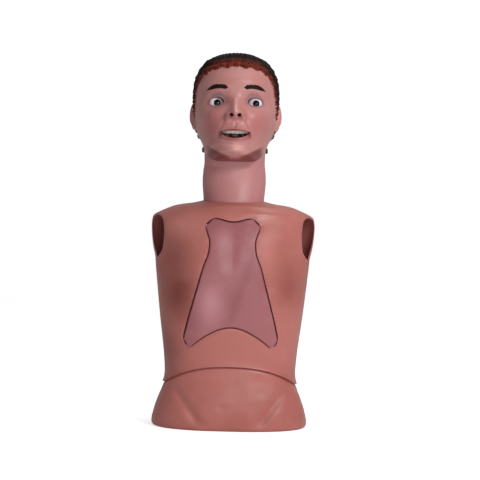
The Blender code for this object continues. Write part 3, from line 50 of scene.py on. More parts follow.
# CAMERA, FLOOR AND LIGHT
# A long lens at the height of the face, aimed a little down, the manikin leaning one degree to the right.
# Soft key light from the upper right, a weaker one beside the camera, one overhead, a white room.
CAMERA_DISTANCE = 4.0
CAMERA_RISE = math.radians(3.7)
CAMERA_ROLL = math.radians(1.3)
FRAME_WIDTH = 0.888
SENSOR = 36.0
aim = Vector((0.0132, 0.0, 0.3440))

lens = bpy.data.cameras.new("photo_camera")
lens.sensor_width = SENSOR
lens.lens = SENSOR * CAMERA_DISTANCE / FRAME_WIDTH
camera = bpy.data.objects.new("photo_camera", lens)
scene.collection.objects.link(camera)
camera.location = aim + CAMERA_DISTANCE * Vector((0.0, -math.cos(CAMERA_RISE), math.sin(CAMERA_RISE)))
view = (aim - camera.location).to_track_quat("-Z", "Y").to_matrix()
camera.rotation_euler = (view @ Matrix.Rotation(CAMERA_ROLL, 3, "Z")).to_euler()
scene.camera = camera
scene.view_settings.view_transform = "Standard"


LIT_SPOT = Vector((0.0, 0.0, 0.40))


def lamp(name, place, size, power):
    light = bpy.data.lights.new(name, "AREA")
    light.shape = "DISK"
    light.size = size
    light.energy = power
    holder = bpy.data.objects.new(name, light)
    holder.location = place
    holder.rotation_euler = (LIT_SPOT - holder.location).to_track_quat("-Z", "Y").to_euler()
    scene.collection.objects.link(holder)


lamp("key", (1.6, -2.3, 1.8), 0.9, 46)
lamp("fill", (0.3, -3.3, 0.7), 0.5, 13)
lamp("top", (0.3, 0.4, 2.4), 1.2, 16)

world = bpy.data.worlds.new("white_room")
scene.world = world
world.use_nodes = True
room = world.node_tree.nodes
room.clear()
room_out = room.new("ShaderNodeOutputWorld")
seen = room.new("ShaderNodeBackground")
seen.inputs["Strength"].default_value = 1.0
lit = room.new("ShaderNodeBackground")
lit.inputs["Strength"].default_value = 0.20
rays = room.new("ShaderNodeLightPath")
blend = room.new("ShaderNodeMixShader")
join = world.node_tree.links.new
join(rays.outputs["Is Camera Ray"], blend.inputs["Fac"])
join(lit.outputs["Background"], blend.inputs[1])
join(seen.outputs["Background"], blend.inputs[2])
join(blend.outputs["Shader"], room_out.inputs["Surface"])
for background in (seen, lit):
    background.inputs["Color"].default_value = (1.0, 1.0, 1.0, 1.0)

FLOOR_FRONT, SWEEP_START, WALL_HEIGHT, PAPER_HALF = -4.0, 2.2, 5.0, 5.0
floor_mesh = bpy.data.meshes.new("floor")
profile = [(FLOOR_FRONT, 0.0), (SWEEP_START, 0.0)]
for bend in range(10, 91, 10):
    profile.append((SWEEP_START + math.sin(math.radians(bend)), 1.0 - math.cos(math.radians(bend))))
profile.append((SWEEP_START + 1.0, WALL_HEIGHT))
floor_points = [(x, y, z) for y, z in profile for x in (-PAPER_HALF, PAPER_HALF)]
floor_faces = [(2 * k, 2 * k + 1, 2 * k + 3, 2 * k + 2) for k in range(len(profile) - 1)]
floor_mesh.from_pydata(floor_points, [], floor_faces)
floor_mesh.shade_smooth()
floor = bpy.data.objects.new("floor", floor_mesh)
scene.collection.objects.link(floor)
paper = bpy.data.materials.new("white_paper")
paper.use_nodes = True
paper_nodes = paper.node_tree.nodes
paper_nodes.clear()
paper_out = paper_nodes.new("ShaderNodeOutputMaterial")
paper_skin = paper_nodes.new("ShaderNodeBsdfDiffuse")
paper_skin.inputs["Color"].default_value = (0.90, 0.90, 0.90, 1.0)
paper_glow = paper_nodes.new("ShaderNodeEmission")
paper_glow.inputs["Strength"].default_value = 0.62
paper_rays = paper_nodes.new("ShaderNodeLightPath")
paper_add = paper_nodes.new("ShaderNodeAddShader")
paper_mix = paper_nodes.new("ShaderNodeMixShader")
link = paper.node_tree.links.new
link(paper_skin.outputs["BSDF"], paper_add.inputs[0])
link(paper_glow.outputs["Emission"], paper_add.inputs[1])
link(paper_rays.outputs["Is Camera Ray"], paper_mix.inputs["Fac"])
link(paper_skin.outputs["BSDF"], paper_mix.inputs[1])
link(paper_add.outputs["Shader"], paper_mix.inputs[2])
link(paper_mix.outputs["Shader"], paper_out.inputs["Surface"])
floor_mesh.materials.append(paper)


# ABDOMEN BASE
# The lower moulding of soft vinyl, a cup on a flat foot with the groin folds and the navel in it.
# Its rim goes up inside the thorax shell.
def linear(red, green, blue):
    """Linear colour from the 0 to 255 values that the eye reads."""
    made = []
    for value in (red, green, blue):
        share = value / 255
        made.append(share / 12.92 if share <= 0.04045 else ((share + 0.055) / 1.055) ** 2.4)
    return (*made, 1.0)


def group(name, inputs, outputs):
    """A node group with named sockets, and its input and output nodes."""
    tree = bpy.data.node_groups.new(name, "ShaderNodeTree")
    for word, kind, value in inputs:
        socket = tree.interface.new_socket(word, in_out="INPUT", socket_type="NodeSocket" + kind)
        socket.default_value = value
    for word, kind in outputs:
        tree.interface.new_socket(word, in_out="OUTPUT", socket_type="NodeSocket" + kind)
    return tree, tree.nodes.new("NodeGroupInput"), tree.nodes.new("NodeGroupOutput")


def noise(tree, source, scale, detail=2.0, roughness=0.5, stretch=None):
    made = tree.nodes.new("ShaderNodeTexNoise")
    made.inputs["Scale"].default_value = scale
    made.inputs["Detail"].default_value = detail
    made.inputs["Roughness"].default_value = roughness
    if stretch:
        mapping = tree.nodes.new("ShaderNodeMapping")
        mapping.inputs["Scale"].default_value = stretch
        tree.links.new(source, mapping.inputs["Vector"])
        source = mapping.outputs["Vector"]
    tree.links.new(source, made.inputs["Vector"])
    return made.outputs["Fac"]


def ranged(tree, value, low, high, to_low=0.0, to_high=1.0):
    made = tree.nodes.new("ShaderNodeMapRange")
    made.interpolation_type = "SMOOTHSTEP"
    made.inputs["From Min"].default_value = low
    made.inputs["From Max"].default_value = high
    made.inputs["To Min"].default_value = to_low
    made.inputs["To Max"].default_value = to_high
    tree.links.new(value, made.inputs["Value"])
    return made.outputs["Result"]


def mixed(tree, share, first, second):
    """Mix two colours; each may be a socket or a colour."""
    made = tree.nodes.new("ShaderNodeMix")
    made.data_type = "RGBA"
    factor = made.inputs["Factor"]
    if isinstance(share, float):
        factor.default_value = share
    else:
        tree.links.new(share, factor)
    for socket, value in ((made.inputs[6], first), (made.inputs[7], second)):
        if isinstance(value, tuple):
            socket.default_value = value
        else:
            tree.links.new(value, socket)
    return made.outputs[2]


def sum_of(tree, first, second, operation="ADD"):
    made = tree.nodes.new("ShaderNodeMath")
    made.operation = operation
    for socket, value in zip(made.inputs, (first, second)):
        if isinstance(value, float):
            socket.default_value = value
        else:
            tree.links.new(value, socket)
    return made.outputs["Value"]


# Moulded vinyl: faint blotches of the pigment, a duller bloom, and the mould's fine grain
vinyl_tone, given, put = group(
    "vinyl_tone",
    [
        ("Color", "Color", (0.5, 0.2, 0.2, 1.0)),
        ("Blotch", "Color", (0.4, 0.1, 0.1, 1.0)),
        ("Bloom", "Color", (0.6, 0.3, 0.3, 1.0)),
        ("Roughness", "Float", 0.45),
    ],
    [("Color", "Color"), ("Roughness", "Float"), ("Height", "Float")],
)
where = vinyl_tone.nodes.new("ShaderNodeTexCoord").outputs["Object"]
blotch = ranged(vinyl_tone, noise(vinyl_tone, where, 9.0, 3.0, 0.55), 0.42, 0.72, 0.0, 0.42)
bloom = ranged(vinyl_tone, noise(vinyl_tone, where, 21.0, 4.0, 0.6), 0.50, 0.78, 0.0, 0.30)
streaked = noise(vinyl_tone, where, 34.0, 5.0, 0.65, (1.0, 1.0, 0.18))
scuff = ranged(vinyl_tone, streaked, 0.60, 0.74, 0.0, 0.22)
toned = mixed(vinyl_tone, blotch, given.outputs["Color"], given.outputs["Blotch"])
toned = mixed(vinyl_tone, bloom, toned, given.outputs["Bloom"])
toned = mixed(vinyl_tone, scuff, toned, given.outputs["Bloom"])
vinyl_tone.links.new(toned, put.inputs["Color"])
dull = ranged(vinyl_tone, noise(vinyl_tone, where, 16.0, 4.0), 0.35, 0.75, -0.05, 0.10)
vinyl_tone.links.new(sum_of(vinyl_tone, given.outputs["Roughness"], dull), put.inputs["Roughness"])
grain = noise(vinyl_tone, where, 1400.0, 2.0)
dimple = ranged(vinyl_tone, noise(vinyl_tone, where, 120.0, 3.0), 0.30, 0.70, 0.0, 0.8)
vinyl_tone.links.new(sum_of(vinyl_tone, grain, dimple), put.inputs["Height"])


def shader(name):
    """A material, its node tree and its Principled shader."""
    made = bpy.data.materials.new(name)
    made.use_nodes = True
    return made, made.node_tree, made.node_tree.nodes["Principled BSDF"]


def placed(tree, kind, **values):
    """A node group placed in a tree with its own values."""
    made = tree.nodes.new("ShaderNodeGroup")
    made.node_tree = kind
    for word, value in values.items():
        made.inputs[word].default_value = value
    return made


def bumped(tree, height, strength, distance, principled):
    bump = tree.nodes.new("ShaderNodeBump")
    bump.inputs["Strength"].default_value = strength
    bump.inputs["Distance"].default_value = distance
    tree.links.new(height, bump.inputs["Height"])
    tree.links.new(bump.outputs["Normal"], principled.inputs["Normal"])


def mask(tree, word):
    made = tree.nodes.new("ShaderNodeAttribute")
    made.attribute_name = word
    return made.outputs["Fac"]


def masked(made, word, values):
    """Keep a mask, one value a point, on the mesh for its material to read."""
    attribute = made.data.attributes.new(word, "FLOAT", "POINT")
    attribute.data.foreach_set("value", np.asarray(values, dtype=np.float32))


def fleshy(principled):
    """Let a little light into the vinyl, redder the deeper it goes."""
    principled.inputs["Subsurface Weight"].default_value = 0.12
    principled.inputs["Subsurface Scale"].default_value = 0.006
    principled.inputs["Subsurface Radius"].default_value = (1.0, 0.35, 0.25)


def vinyl(name, colour, blotch, bloom, roughness, painted_shade, painted_light):
    """One batch of moulded vinyl, with painted shade and painted light where the piece's masks say so."""
    made, tree, principled = shader(name)
    tone = placed(tree, vinyl_tone, Color=colour, Blotch=blotch, Bloom=bloom, Roughness=roughness)
    # Painted shade, then painted light, mixed in where the piece's masks ask for them
    shaded = mixed(tree, mask(tree, "painted_shade"), tone.outputs["Color"], painted_shade)
    shaded = mixed(tree, mask(tree, "painted_light"), shaded, painted_light)
    tree.links.new(shaded, principled.inputs["Base Color"])
    tree.links.new(tone.outputs["Roughness"], principled.inputs["Roughness"])
    bumped(tree, tone.outputs["Height"], 0.25, 0.0002, principled)
    fleshy(principled)
    return made


# The trunk's vinyl; its last two colours are the painted shade and the painted light
trunk_vinyl = vinyl(
    "trunk_vinyl",
    colour=linear(192, 115, 106),
    blotch=linear(162, 82, 74),
    bloom=linear(206, 134, 126),
    roughness=0.42,
    painted_shade=linear(122, 52, 44),
    painted_light=linear(206, 134, 126),
)


def step(value):
    value = np.clip(value, 0.0, 1.0)
    return value * value * (3.0 - 2.0 * value)


def hermite(xs, ys, x):
    """Monotone cubic through the points (xs, ys), read at one x."""
    if x <= xs[0]:
        return ys[0]
    if x >= xs[-1]:
        return ys[-1]
    k = max(i for i in range(len(xs) - 1) if xs[i] <= x)
    rises = [(ys[i + 1] - ys[i]) / (xs[i + 1] - xs[i]) for i in range(len(xs) - 1)]

    def slope(i):
        if i == 0 or i == len(xs) - 1:
            return rises[0] if i == 0 else rises[-1]
        a, b = rises[i - 1], rises[i]
        return 0.0 if a * b <= 0 else 2 * a * b / (a + b)

    h = xs[k + 1] - xs[k]
    t = (x - xs[k]) / h
    a = (1 + 2 * t) * (1 - t) ** 2 * ys[k] + t * (1 - t) ** 2 * h * slope(k)
    return a + t * t * (3 - 2 * t) * ys[k + 1] + t * t * (t - 1) * h * slope(k + 1)


def drawn(table):
    """A station table as a function that reads all its columns at an array of heights."""
    heights = [row[0] for row in table]
    fine = np.linspace(heights[0], heights[-1], 700)
    columns = []
    for k in range(1, len(table[0])):
        values = [row[k] for row in table]
        columns.append(np.array([hermite(heights, values, x) for x in fine]))
    return lambda z: [np.interp(z, fine, column) for column in columns]


def bell(x, z, cx, cz, sx, sz):
    return np.exp(-(((x - cx) / sx) ** 2) - ((z - cz) / sz) ** 2)


def powered(value, exponent):
    return np.sign(value) * np.abs(value) ** exponent


# Height, half width, front, back, line of greatest width, squareness in front and behind
torso_at = drawn(
    (
        (0.0000, 0.1390, -0.0900, 0.0900, 0.0, 2.5, 2.5),
        (0.0015, 0.1420, -0.0930, 0.0930, 0.0, 2.5, 2.5),
        (0.0070, 0.1440, -0.0950, 0.0950, 0.0, 2.5, 2.5),
        (0.0300, 0.1395, -0.0960, 0.0940, 0.0, 2.5, 2.5),
        (0.0520, 0.1320, -0.0940, 0.0900, 0.0, 2.4, 2.4),
        (0.0740, 0.1240, -0.0890, 0.0820, 0.0, 2.4, 2.4),
        (0.1000, 0.1212, -0.0850, 0.0800, 0.0, 2.4, 2.4),
        (0.1290, 0.1230, -0.0860, 0.0800, 0.0, 2.4, 2.4),
        (0.1960, 0.1310, -0.0920, 0.0840, 0.0, 2.4, 2.4),
        (0.2400, 0.1360, -0.0970, 0.0880, 0.0020, 2.3, 2.4),
        (0.2850, 0.1410, -0.1000, 0.0920, 0.0080, 2.1, 2.4),
        (0.3070, 0.1435, -0.0990, 0.0930, 0.0150, 1.9, 2.5),
        (0.3300, 0.1505, -0.0960, 0.0930, 0.0220, 1.8, 2.6),
        (0.3500, 0.1560, -0.0920, 0.0930, 0.0220, 1.8, 2.6),
        (0.3680, 0.1590, -0.0850, 0.0920, 0.0220, 1.8, 2.5),
        (0.3810, 0.1560, -0.0780, 0.0905, 0.0220, 1.85, 2.3),
        (0.3905, 0.1420, -0.0740, 0.0885, 0.0180, 1.9, 2.1),
        (0.3993, 0.1240, -0.0700, 0.0860, 0.0140, 2.0, 2.0),
        (0.4065, 0.1045, -0.0660, 0.0830, 0.0100, 2.0, 2.0),
        (0.4110, 0.0750, -0.0620, 0.0780, 0.0080, 2.0, 2.0),
        (0.4165, 0.0530, -0.0450, 0.0610, 0.0080, 2.0, 2.0),
    )
)
HEM_HEIGHT = 0.080
HEM_RISE = 0.038
SEAM_HEIGHT = 0.4155
SHELL_WALL = 0.0040
FIT = 0.0005


def chest_relief(x, z):
    """Breast muscles, breastbone, rib edge, collar bones, navel and groin folds."""
    side = np.abs(x)
    rise = 0.0055 * bell(side, z, 0.066, 0.318, 0.040, 0.030)
    rise += 0.0020 * bell(side, z, 0.070, 0.345, 0.045, 0.030)
    rise -= 0.0025 * bell(x, z, 0.0, 0.330, 0.014, 0.045)
    rise -= 0.0022 * bell(side, z, 0.080, 0.272, 0.045, 0.012)
    rise += 0.0020 * bell(side, z, 0.062, 0.396, 0.045, 0.006)
    rise += 0.0030 * bell(x, z, 0.0, 0.070, 0.050, 0.030)
    rise -= 0.0040 * bell(x, z, -0.0145, 0.0440, 0.0042, 0.0034)
    crease = side - (0.045 + 0.75 * z)
    rise -= 0.0060 * np.exp(-((crease / 0.010) ** 2)) * step((0.085 - z) / 0.03)
    return rise * step((0.125 - side) / 0.03) * step((z - 0.002) / 0.020)


def torso_surface(angle, z, inset=0.0):
    """Points of the trunk at arrays of angles and heights."""
    width, front, back, middle, square, back_square = torso_at(z)
    sine, cosine = np.sin(angle), np.cos(angle)
    ahead = sine < 0
    power = 2 / np.where(ahead, square, back_square)
    half = np.where(ahead, middle - front, back - middle)
    x = (width - inset) * powered(cosine, power)
    y = middle + (half - inset) * powered(sine, power)
    y = y - np.where(ahead, chest_relief(x, z) * step(-sine / 0.25), 0.0)
    return np.stack([x, y, z + 0 * x], axis=-1)


def front_surface(x, z, depth):
    """The chest's front at arrays of x and z, moved inwards along the normal."""

    def reach(px, pz):
        width, front, back, middle, square, back_square = torso_at(pz)
        share = np.minimum(1.0, np.abs(px) / width)
        return middle - (middle - front) * (1 - share**square) ** (1 / square) - chest_relief(px, pz)

    gap = 0.001
    slope_x = (reach(x + gap, z) - reach(x - gap, z)) / (2 * gap)
    slope_z = (reach(x, z + gap) - reach(x, z - gap)) / (2 * gap)
    normal = np.stack([slope_x, -np.ones_like(slope_x), slope_z], axis=-1)
    normal /= np.linalg.norm(normal, axis=-1, keepdims=True)
    return np.stack([x, reach(x, z), z], axis=-1) - normal * np.asarray(depth)[..., None]


def hem_bend(angle, z, fade=0.090):
    """The hem arches up in front; rows above it bend less and less."""
    return HEM_RISE * np.maximum(0.0, -np.sin(angle)) ** 1.6 * (1 - step((z - HEM_HEIGHT) / fade))


def grid_mesh(name, rings, caps=(True, True), around=False):
    """A mesh of quads between rings of points; rings run upwards, each one counter-clockwise."""
    rings = np.asarray(rings, dtype=float)
    rows, count = rings.shape[0], rings.shape[1]
    index = np.arange(rows * count).reshape(rows, count)
    if around:
        index = np.vstack([index, index[:1]])
    low, high = index[:-1], index[1:]
    quads = np.stack([low, np.roll(low, -1, 1), np.roll(high, -1, 1), high], axis=-1).reshape(-1, 4)
    faces = [tuple(quad) for quad in quads.tolist()]
    if caps[0]:
        faces.append(tuple(index[0][::-1].tolist()))
    if caps[1]:
        faces.append(tuple(index[-1].tolist()))
    mesh = bpy.data.meshes.new(name)
    mesh.from_pydata(rings.reshape(-1, 3).tolist(), [], faces)
    if around or all(caps):
        form = bmesh.new()
        form.from_mesh(mesh)
        bmesh.ops.recalc_face_normals(form, faces=form.faces)
        form.to_mesh(mesh)
        form.free()
    mesh.shade_smooth()
    return mesh


def piece(name, mesh, *materials):
    made = bpy.data.objects.new(name, mesh)
    scene.collection.objects.link(made)
    for material in materials:
        mesh.materials.append(material)
    return made


def thicken(made, wall):
    thick = made.modifiers.new("wall", "SOLIDIFY")
    thick.thickness = wall
    thick.offset = -1.0
    thick.use_even_offset = True
    return made


def carve(made, *tools, operation="DIFFERENCE"):
    for tool in tools:
        cut = made.modifiers.new(tool.name, "BOOLEAN")
        cut.operation = operation
        cut.object = tool
        cut.solver = "EXACT"
    return made


def settle(made, *tools, crease=None):
    """Apply the modifiers and drop the tools that cut the piece."""
    ready = made.evaluated_get(bpy.context.evaluated_depsgraph_get())
    mesh = bpy.data.meshes.new_from_object(ready)
    made.modifiers.clear()
    made.data = mesh
    for tool in tools:
        bpy.data.objects.remove(tool, do_unlink=True)
    mesh.shade_smooth()
    if crease:
        mesh.set_sharp_from_angle(angle=math.radians(crease))
    return made


COLUMNS = 168
turns = 2 * np.pi * (np.arange(COLUMNS) + 0.5) / COLUMNS
BASE_RIM = 0.1400
STEP_IN = SHELL_WALL + FIT
base_rows = [(z, 0.0) for z in (0.0, 0.0006, 0.0015, 0.0030, 0.0050, 0.0075)]
base_rows += [(z, 0.0) for z in np.linspace(0.0110, HEM_HEIGHT - 0.0120, 22)]
base_rows += [(HEM_HEIGHT - 0.0085, 0.0002), (HEM_HEIGHT - 0.0060, 0.0006), (HEM_HEIGHT - 0.0040, 0.0014)]
base_rows += [(HEM_HEIGHT - 0.0015, STEP_IN), (HEM_HEIGHT + 0.0300, STEP_IN), (BASE_RIM, STEP_IN)]
base_rings = []
for z, inset in base_rows:
    bend = hem_bend(turns, max(z, HEM_HEIGHT), BASE_RIM - HEM_HEIGHT)
    if z < HEM_HEIGHT:
        bend = bend * step(z / HEM_HEIGHT)
    base_rings.append(torso_surface(turns, z + bend, inset))
abdomen = piece("abdomen_moulding", grid_mesh("abdomen_moulding", base_rings, (True, False)), trunk_vinyl)
settle(thicken(abdomen, SHELL_WALL), crease=50)
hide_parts("abdomen_base")
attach(abdomen, "torso")


# THORAX SHELL
# One thin moulding with a flared hem, two open armholes, the neck hole and the window for the plate.
# The edge round the window is rolled in the mould.
PLATE_SIDE = (
    (0.1520, 0.0850),
    (0.1650, 0.0855),
    (0.1950, 0.0800),
    (0.2300, 0.0710),
    (0.2670, 0.0610),
    (0.3000, 0.0520),
    (0.3250, 0.0430),
    (0.3450, 0.0410),
    (0.3600, 0.0455),
    (0.3750, 0.0495),
    (0.3890, 0.0435),
)
plate_half = drawn(PLATE_SIDE)
PLATE_FOOT, PLATE_ARCH, FOOT_TURN = 0.148, 0.042, 0.016
PLATE_TOP, SHOULDER_RISE, SHOULDER_DROP = 0.381, 0.0060, 0.0110


def plate_place(share, rise):
    """x and z on the plate; share runs -1 to 1 across it and rise 0 to 1 up it."""
    side = np.abs(share)
    arch = PLATE_ARCH * np.cos(np.pi / 2 * np.minimum(1.0, side / 0.92))
    foot = PLATE_FOOT + arch + FOOT_TURN * step((side - 0.90) / 0.10)
    top = PLATE_TOP + SHOULDER_RISE * step(side / 0.75) - SHOULDER_DROP * step((side - 0.78) / 0.22)
    z = foot + rise * (top - foot)
    return share * plate_half(z)[0], z


def plate_outline(margin):
    """The plate's outline moved outwards by margin, with its corners rounded."""
    across, up = 48, 64
    a, u = np.linspace(-1, 1, across + 1)[:-1], np.linspace(0, 1, up + 1)[:-1]
    shares = np.concatenate([a, np.ones(up), -a, -np.ones(up)])
    rises = np.concatenate([np.zeros(across), u, np.ones(across), 1 - u])
    loop = np.stack(plate_place(shares, rises), axis=-1)
    for _ in range(3):
        loop = 0.5 * loop + 0.25 * (np.roll(loop, 1, 0) + np.roll(loop, -1, 0))
    tangent = np.roll(loop, -1, 0) - np.roll(loop, 1, 0)
    tangent /= np.linalg.norm(tangent, axis=-1, keepdims=True)
    return loop + margin * np.stack([tangent[:, 1], -tangent[:, 0]], axis=-1)


def distance_to(loop, x, z):
    """Distance from points to a closed outline, in the plane of the chest."""
    spot = np.stack([x.ravel(), z.ravel()], axis=-1)
    start, run = loop, np.roll(loop, -1, 0) - loop
    near = np.full(len(spot), 1.0)
    for k in range(len(loop)):
        along = np.clip(((spot - start[k]) @ run[k]) / (run[k] @ run[k]), 0, 1)
        near = np.minimum(near, np.linalg.norm(spot - start[k] - along[:, None] * run[k], axis=-1))
    return near.reshape(x.shape)


PLATE_GAP = 0.0014
window_loop = plate_outline(PLATE_GAP)
SHELL_ROWS = 150
shell_heights = np.concatenate(
    [
        HEM_HEIGHT + np.array([0.0, 0.0012, 0.0026, 0.0045, 0.0070]),
        np.linspace(HEM_HEIGHT + 0.0100, 0.4080, SHELL_ROWS),
        np.array([0.4095, 0.4110, 0.4125, 0.4140, 0.4152, 0.4160, 0.4165]),
    ]
)
shell_rings = []
for z in shell_heights:
    flare = 0.0020 * math.exp(-(z - HEM_HEIGHT) / 0.006)
    shell_rings.append(torso_surface(turns, z + hem_bend(turns, z), -flare))
shell_rings = np.array(shell_rings)
facing = shell_rings[..., 1] < -0.02
edge = distance_to(window_loop, shell_rings[..., 0], shell_rings[..., 2])
ROLL = 0.0045
rolled = np.where(facing & (edge < ROLL), 1 - np.sqrt(np.clip(1 - (1 - edge / ROLL) ** 2, 0, 1)), 0.0)
shell_rings[..., 1] += 0.0022 * rolled

ARMHOLE_TURN = math.radians(17.7)
ARMHOLE_AT = Vector((0.1405, 0.0120, 0.3630))
ARMHOLE_RADIUS, ARMHOLE_DEPTH = 0.0580, 0.06
NECK_Y = 0.0080
NECK_HOLE_RADIUS = 0.0565
UPWARDS = (0, 0, 1)


def drum(name, radius, depth, at, turn_to, count=96):
    """A plain cylinder that starts at a point and runs along a direction."""
    angles = 2 * np.pi * (np.arange(count) + 0.5) / count
    ring = np.stack([radius * np.cos(angles), radius * np.sin(angles), 0 * angles], axis=-1)
    made = piece(name, grid_mesh(name, [ring, ring + np.array([0.0, 0.0, depth])]))
    heading = Vector(turn_to).to_track_quat("Z", "Y").to_matrix().to_4x4()
    made.matrix_world = Matrix.Translation(at) @ heading
    return made


thorax = piece("thorax_moulding", grid_mesh("thorax_moulding", shell_rings, (False, False)), trunk_vinyl)
thicken(thorax, SHELL_WALL)
shell_tools = []
WINDOW_FRONT, WINDOW_BACK = -0.14, -0.03
window_x, window_z = window_loop[:, 0], window_loop[:, 1]
window_rings = [np.stack([window_x, 0 * window_x + y, window_z], -1) for y in (WINDOW_FRONT, WINDOW_BACK)]
shell_tools.append(piece("window_tool", grid_mesh("window_tool", window_rings)))
neck_hole_at = (0.0, NECK_Y, SEAM_HEIGHT - 0.03)
shell_tools.append(drum("neck_tool", NECK_HOLE_RADIUS, 0.05, neck_hole_at, UPWARDS, 144))
for side in (-1, 1):
    outward = (side * math.cos(ARMHOLE_TURN), -math.sin(ARMHOLE_TURN), 0.0)
    at = (side * ARMHOLE_AT.x, ARMHOLE_AT.y, ARMHOLE_AT.z)
    shell_tools.append(drum("armhole_tool", ARMHOLE_RADIUS, ARMHOLE_DEPTH, at, outward))
carve(thorax, *shell_tools)
settle(thorax, *shell_tools, crease=45)
shell_points = np.array([vert.co for vert in thorax.data.vertices])
shell_x, shell_z = shell_points[:, 0], shell_points[:, 2]
# Painted shade on the front of the chest: left and right of the plate, and low on the left flank
painted_shade = 0.85 * bell(shell_x, shell_z, -0.096, 0.250, 0.030, 0.045)
painted_shade += 0.12 * bell(shell_x, shell_z, -0.110, 0.325, 0.030, 0.030)
painted_shade += 0.45 * bell(shell_x, shell_z, 0.102, 0.270, 0.024, 0.045)
painted_shade += 0.40 * bell(shell_x, shell_z, -0.118, 0.140, 0.030, 0.050)
masked(thorax, "painted_shade", np.minimum(painted_shade, 1.0) * (shell_points[:, 1] < 0.03))
# A painted highlight high on the left chest
masked(thorax, "painted_light", 0.7 * bell(shell_x, shell_z, -0.090, 0.372, 0.040, 0.020))
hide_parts("thorax_shell")
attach(thorax, "torso")


# CHEST PLATE
# A bell-shaped cover moulded from a greyer batch of vinyl, with a rounded rim.
# Four pegs behind it sit in holes of the window frame.
# The plate's vinyl; its last two colours are the painted shade and the painted light
plate_vinyl = vinyl(
    "plate_vinyl",
    colour=linear(172, 104, 108),
    blotch=linear(144, 76, 82),
    bloom=linear(198, 138, 142),
    roughness=0.36,
    painted_shade=linear(140, 74, 80),
    painted_light=linear(212, 150, 155),
)
across, up = 96, 150
shares, rises = np.meshgrid(np.linspace(-1, 1, across + 1), np.linspace(0, 1, up + 1))
plate_x, plate_z = plate_place(shares, rises)
plate_loop = plate_outline(0.0)
inside = distance_to(plate_loop, plate_x, plate_z)
RIM = 0.0035
drop = RIM * (1 - np.sqrt(np.clip(1 - (1 - np.minimum(inside, RIM) / RIM) ** 2, 0, 1))) * 0.75
dents = 0.0007 * bell(plate_x, plate_z, -0.012, 0.322, 0.014, 0.018)
dents += 0.0009 * bell(plate_x, plate_z, 0.022, 0.290, 0.012, 0.022)
dents += 0.0006 * bell(plate_x, plate_z, -0.030, 0.250, 0.016, 0.015)
dents += 0.0007 * bell(plate_x, plate_z, 0.008, 0.225, 0.020, 0.012)
dents *= step(inside / 0.010)
front_grid = front_surface(plate_x, plate_z, drop + dents)
back_grid = front_surface(plate_x, plate_z, SHELL_WALL + 0 * plate_x)


def loop_of(grid):
    """The numbers round the edge of a grid, in order."""
    return np.concatenate([grid[0, :-1], grid[:-1, -1], grid[-1, :0:-1], grid[:0:-1, 0]])


def quads_of(rows, columns, offset, flip):
    """The quads of a grid of points, and the points round its edge."""
    index = offset + np.arange((rows + 1) * (columns + 1)).reshape(rows + 1, columns + 1)
    quads = np.stack([index[:-1, :-1], index[:-1, 1:], index[1:, 1:], index[1:, :-1]], -1).reshape(-1, 4)
    return (quads[:, ::-1] if flip else quads).tolist(), loop_of(index).tolist()


front_faces, front_loop = quads_of(up, across, 0, False)
back_faces, back_loop = quads_of(up, across, front_grid[..., 0].size, True)
rim_faces = []
for k in range(len(front_loop)):
    n = (k + 1) % len(front_loop)
    rim_faces.append((front_loop[k], back_loop[k], back_loop[n], front_loop[n]))
plate_mesh = bpy.data.meshes.new("chest_cover")
plate_points = np.concatenate([front_grid.reshape(-1, 3), back_grid.reshape(-1, 3)])
plate_mesh.from_pydata(plate_points.tolist(), [], front_faces + back_faces + rim_faces)
plate_mesh.shade_smooth()
plate = piece("chest_cover", plate_mesh, plate_vinyl)
PEG_RADIUS, PEG_LENGTH, PEG_ROOT = 0.0020, 0.0100, 0.0020
PEG_PLACES = ((0.0375, 0.3740), (-0.0375, 0.3740), (0.0740, 0.1740), (-0.0740, 0.1740))
pegs = []
for peg_x, peg_z in PEG_PLACES:
    seat = front_surface(np.array([peg_x]), np.array([peg_z]), np.array([SHELL_WALL]))[0]
    peg_at = (seat[0], seat[1] - PEG_ROOT, seat[2])
    pegs.append(drum("peg", PEG_RADIUS, PEG_ROOT + PEG_LENGTH, peg_at, (0, 1, 0), 24))
carve(plate, *pegs, operation="UNION")
settle(plate, *pegs, crease=50)
plate_points = np.array([vert.co for vert in plate.data.vertices])
spot_x, spot_z = plate_points[:, 0], plate_points[:, 2]
# Painted light on the plate's lower left and upper middle
painted_light = 0.75 * bell(spot_x, spot_z, -0.038, 0.232, 0.022, 0.040)
painted_light += 0.45 * bell(spot_x, spot_z, -0.020, 0.350, 0.016, 0.020)
masked(plate, "painted_light", painted_light)
# Painted shade along a diagonal fold right of the middle
fold = (spot_x - 0.020) - 0.35 * (spot_z - 0.270)
fold_shade = 0.40 * np.exp(-((fold / 0.011) ** 2)) * step((0.345 - spot_z) / 0.04)
fold_shade *= step((spot_z - 0.18) / 0.03)
masked(plate, "painted_shade", fold_shade)
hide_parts("chest_plate")
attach(plate, "chest_plate")


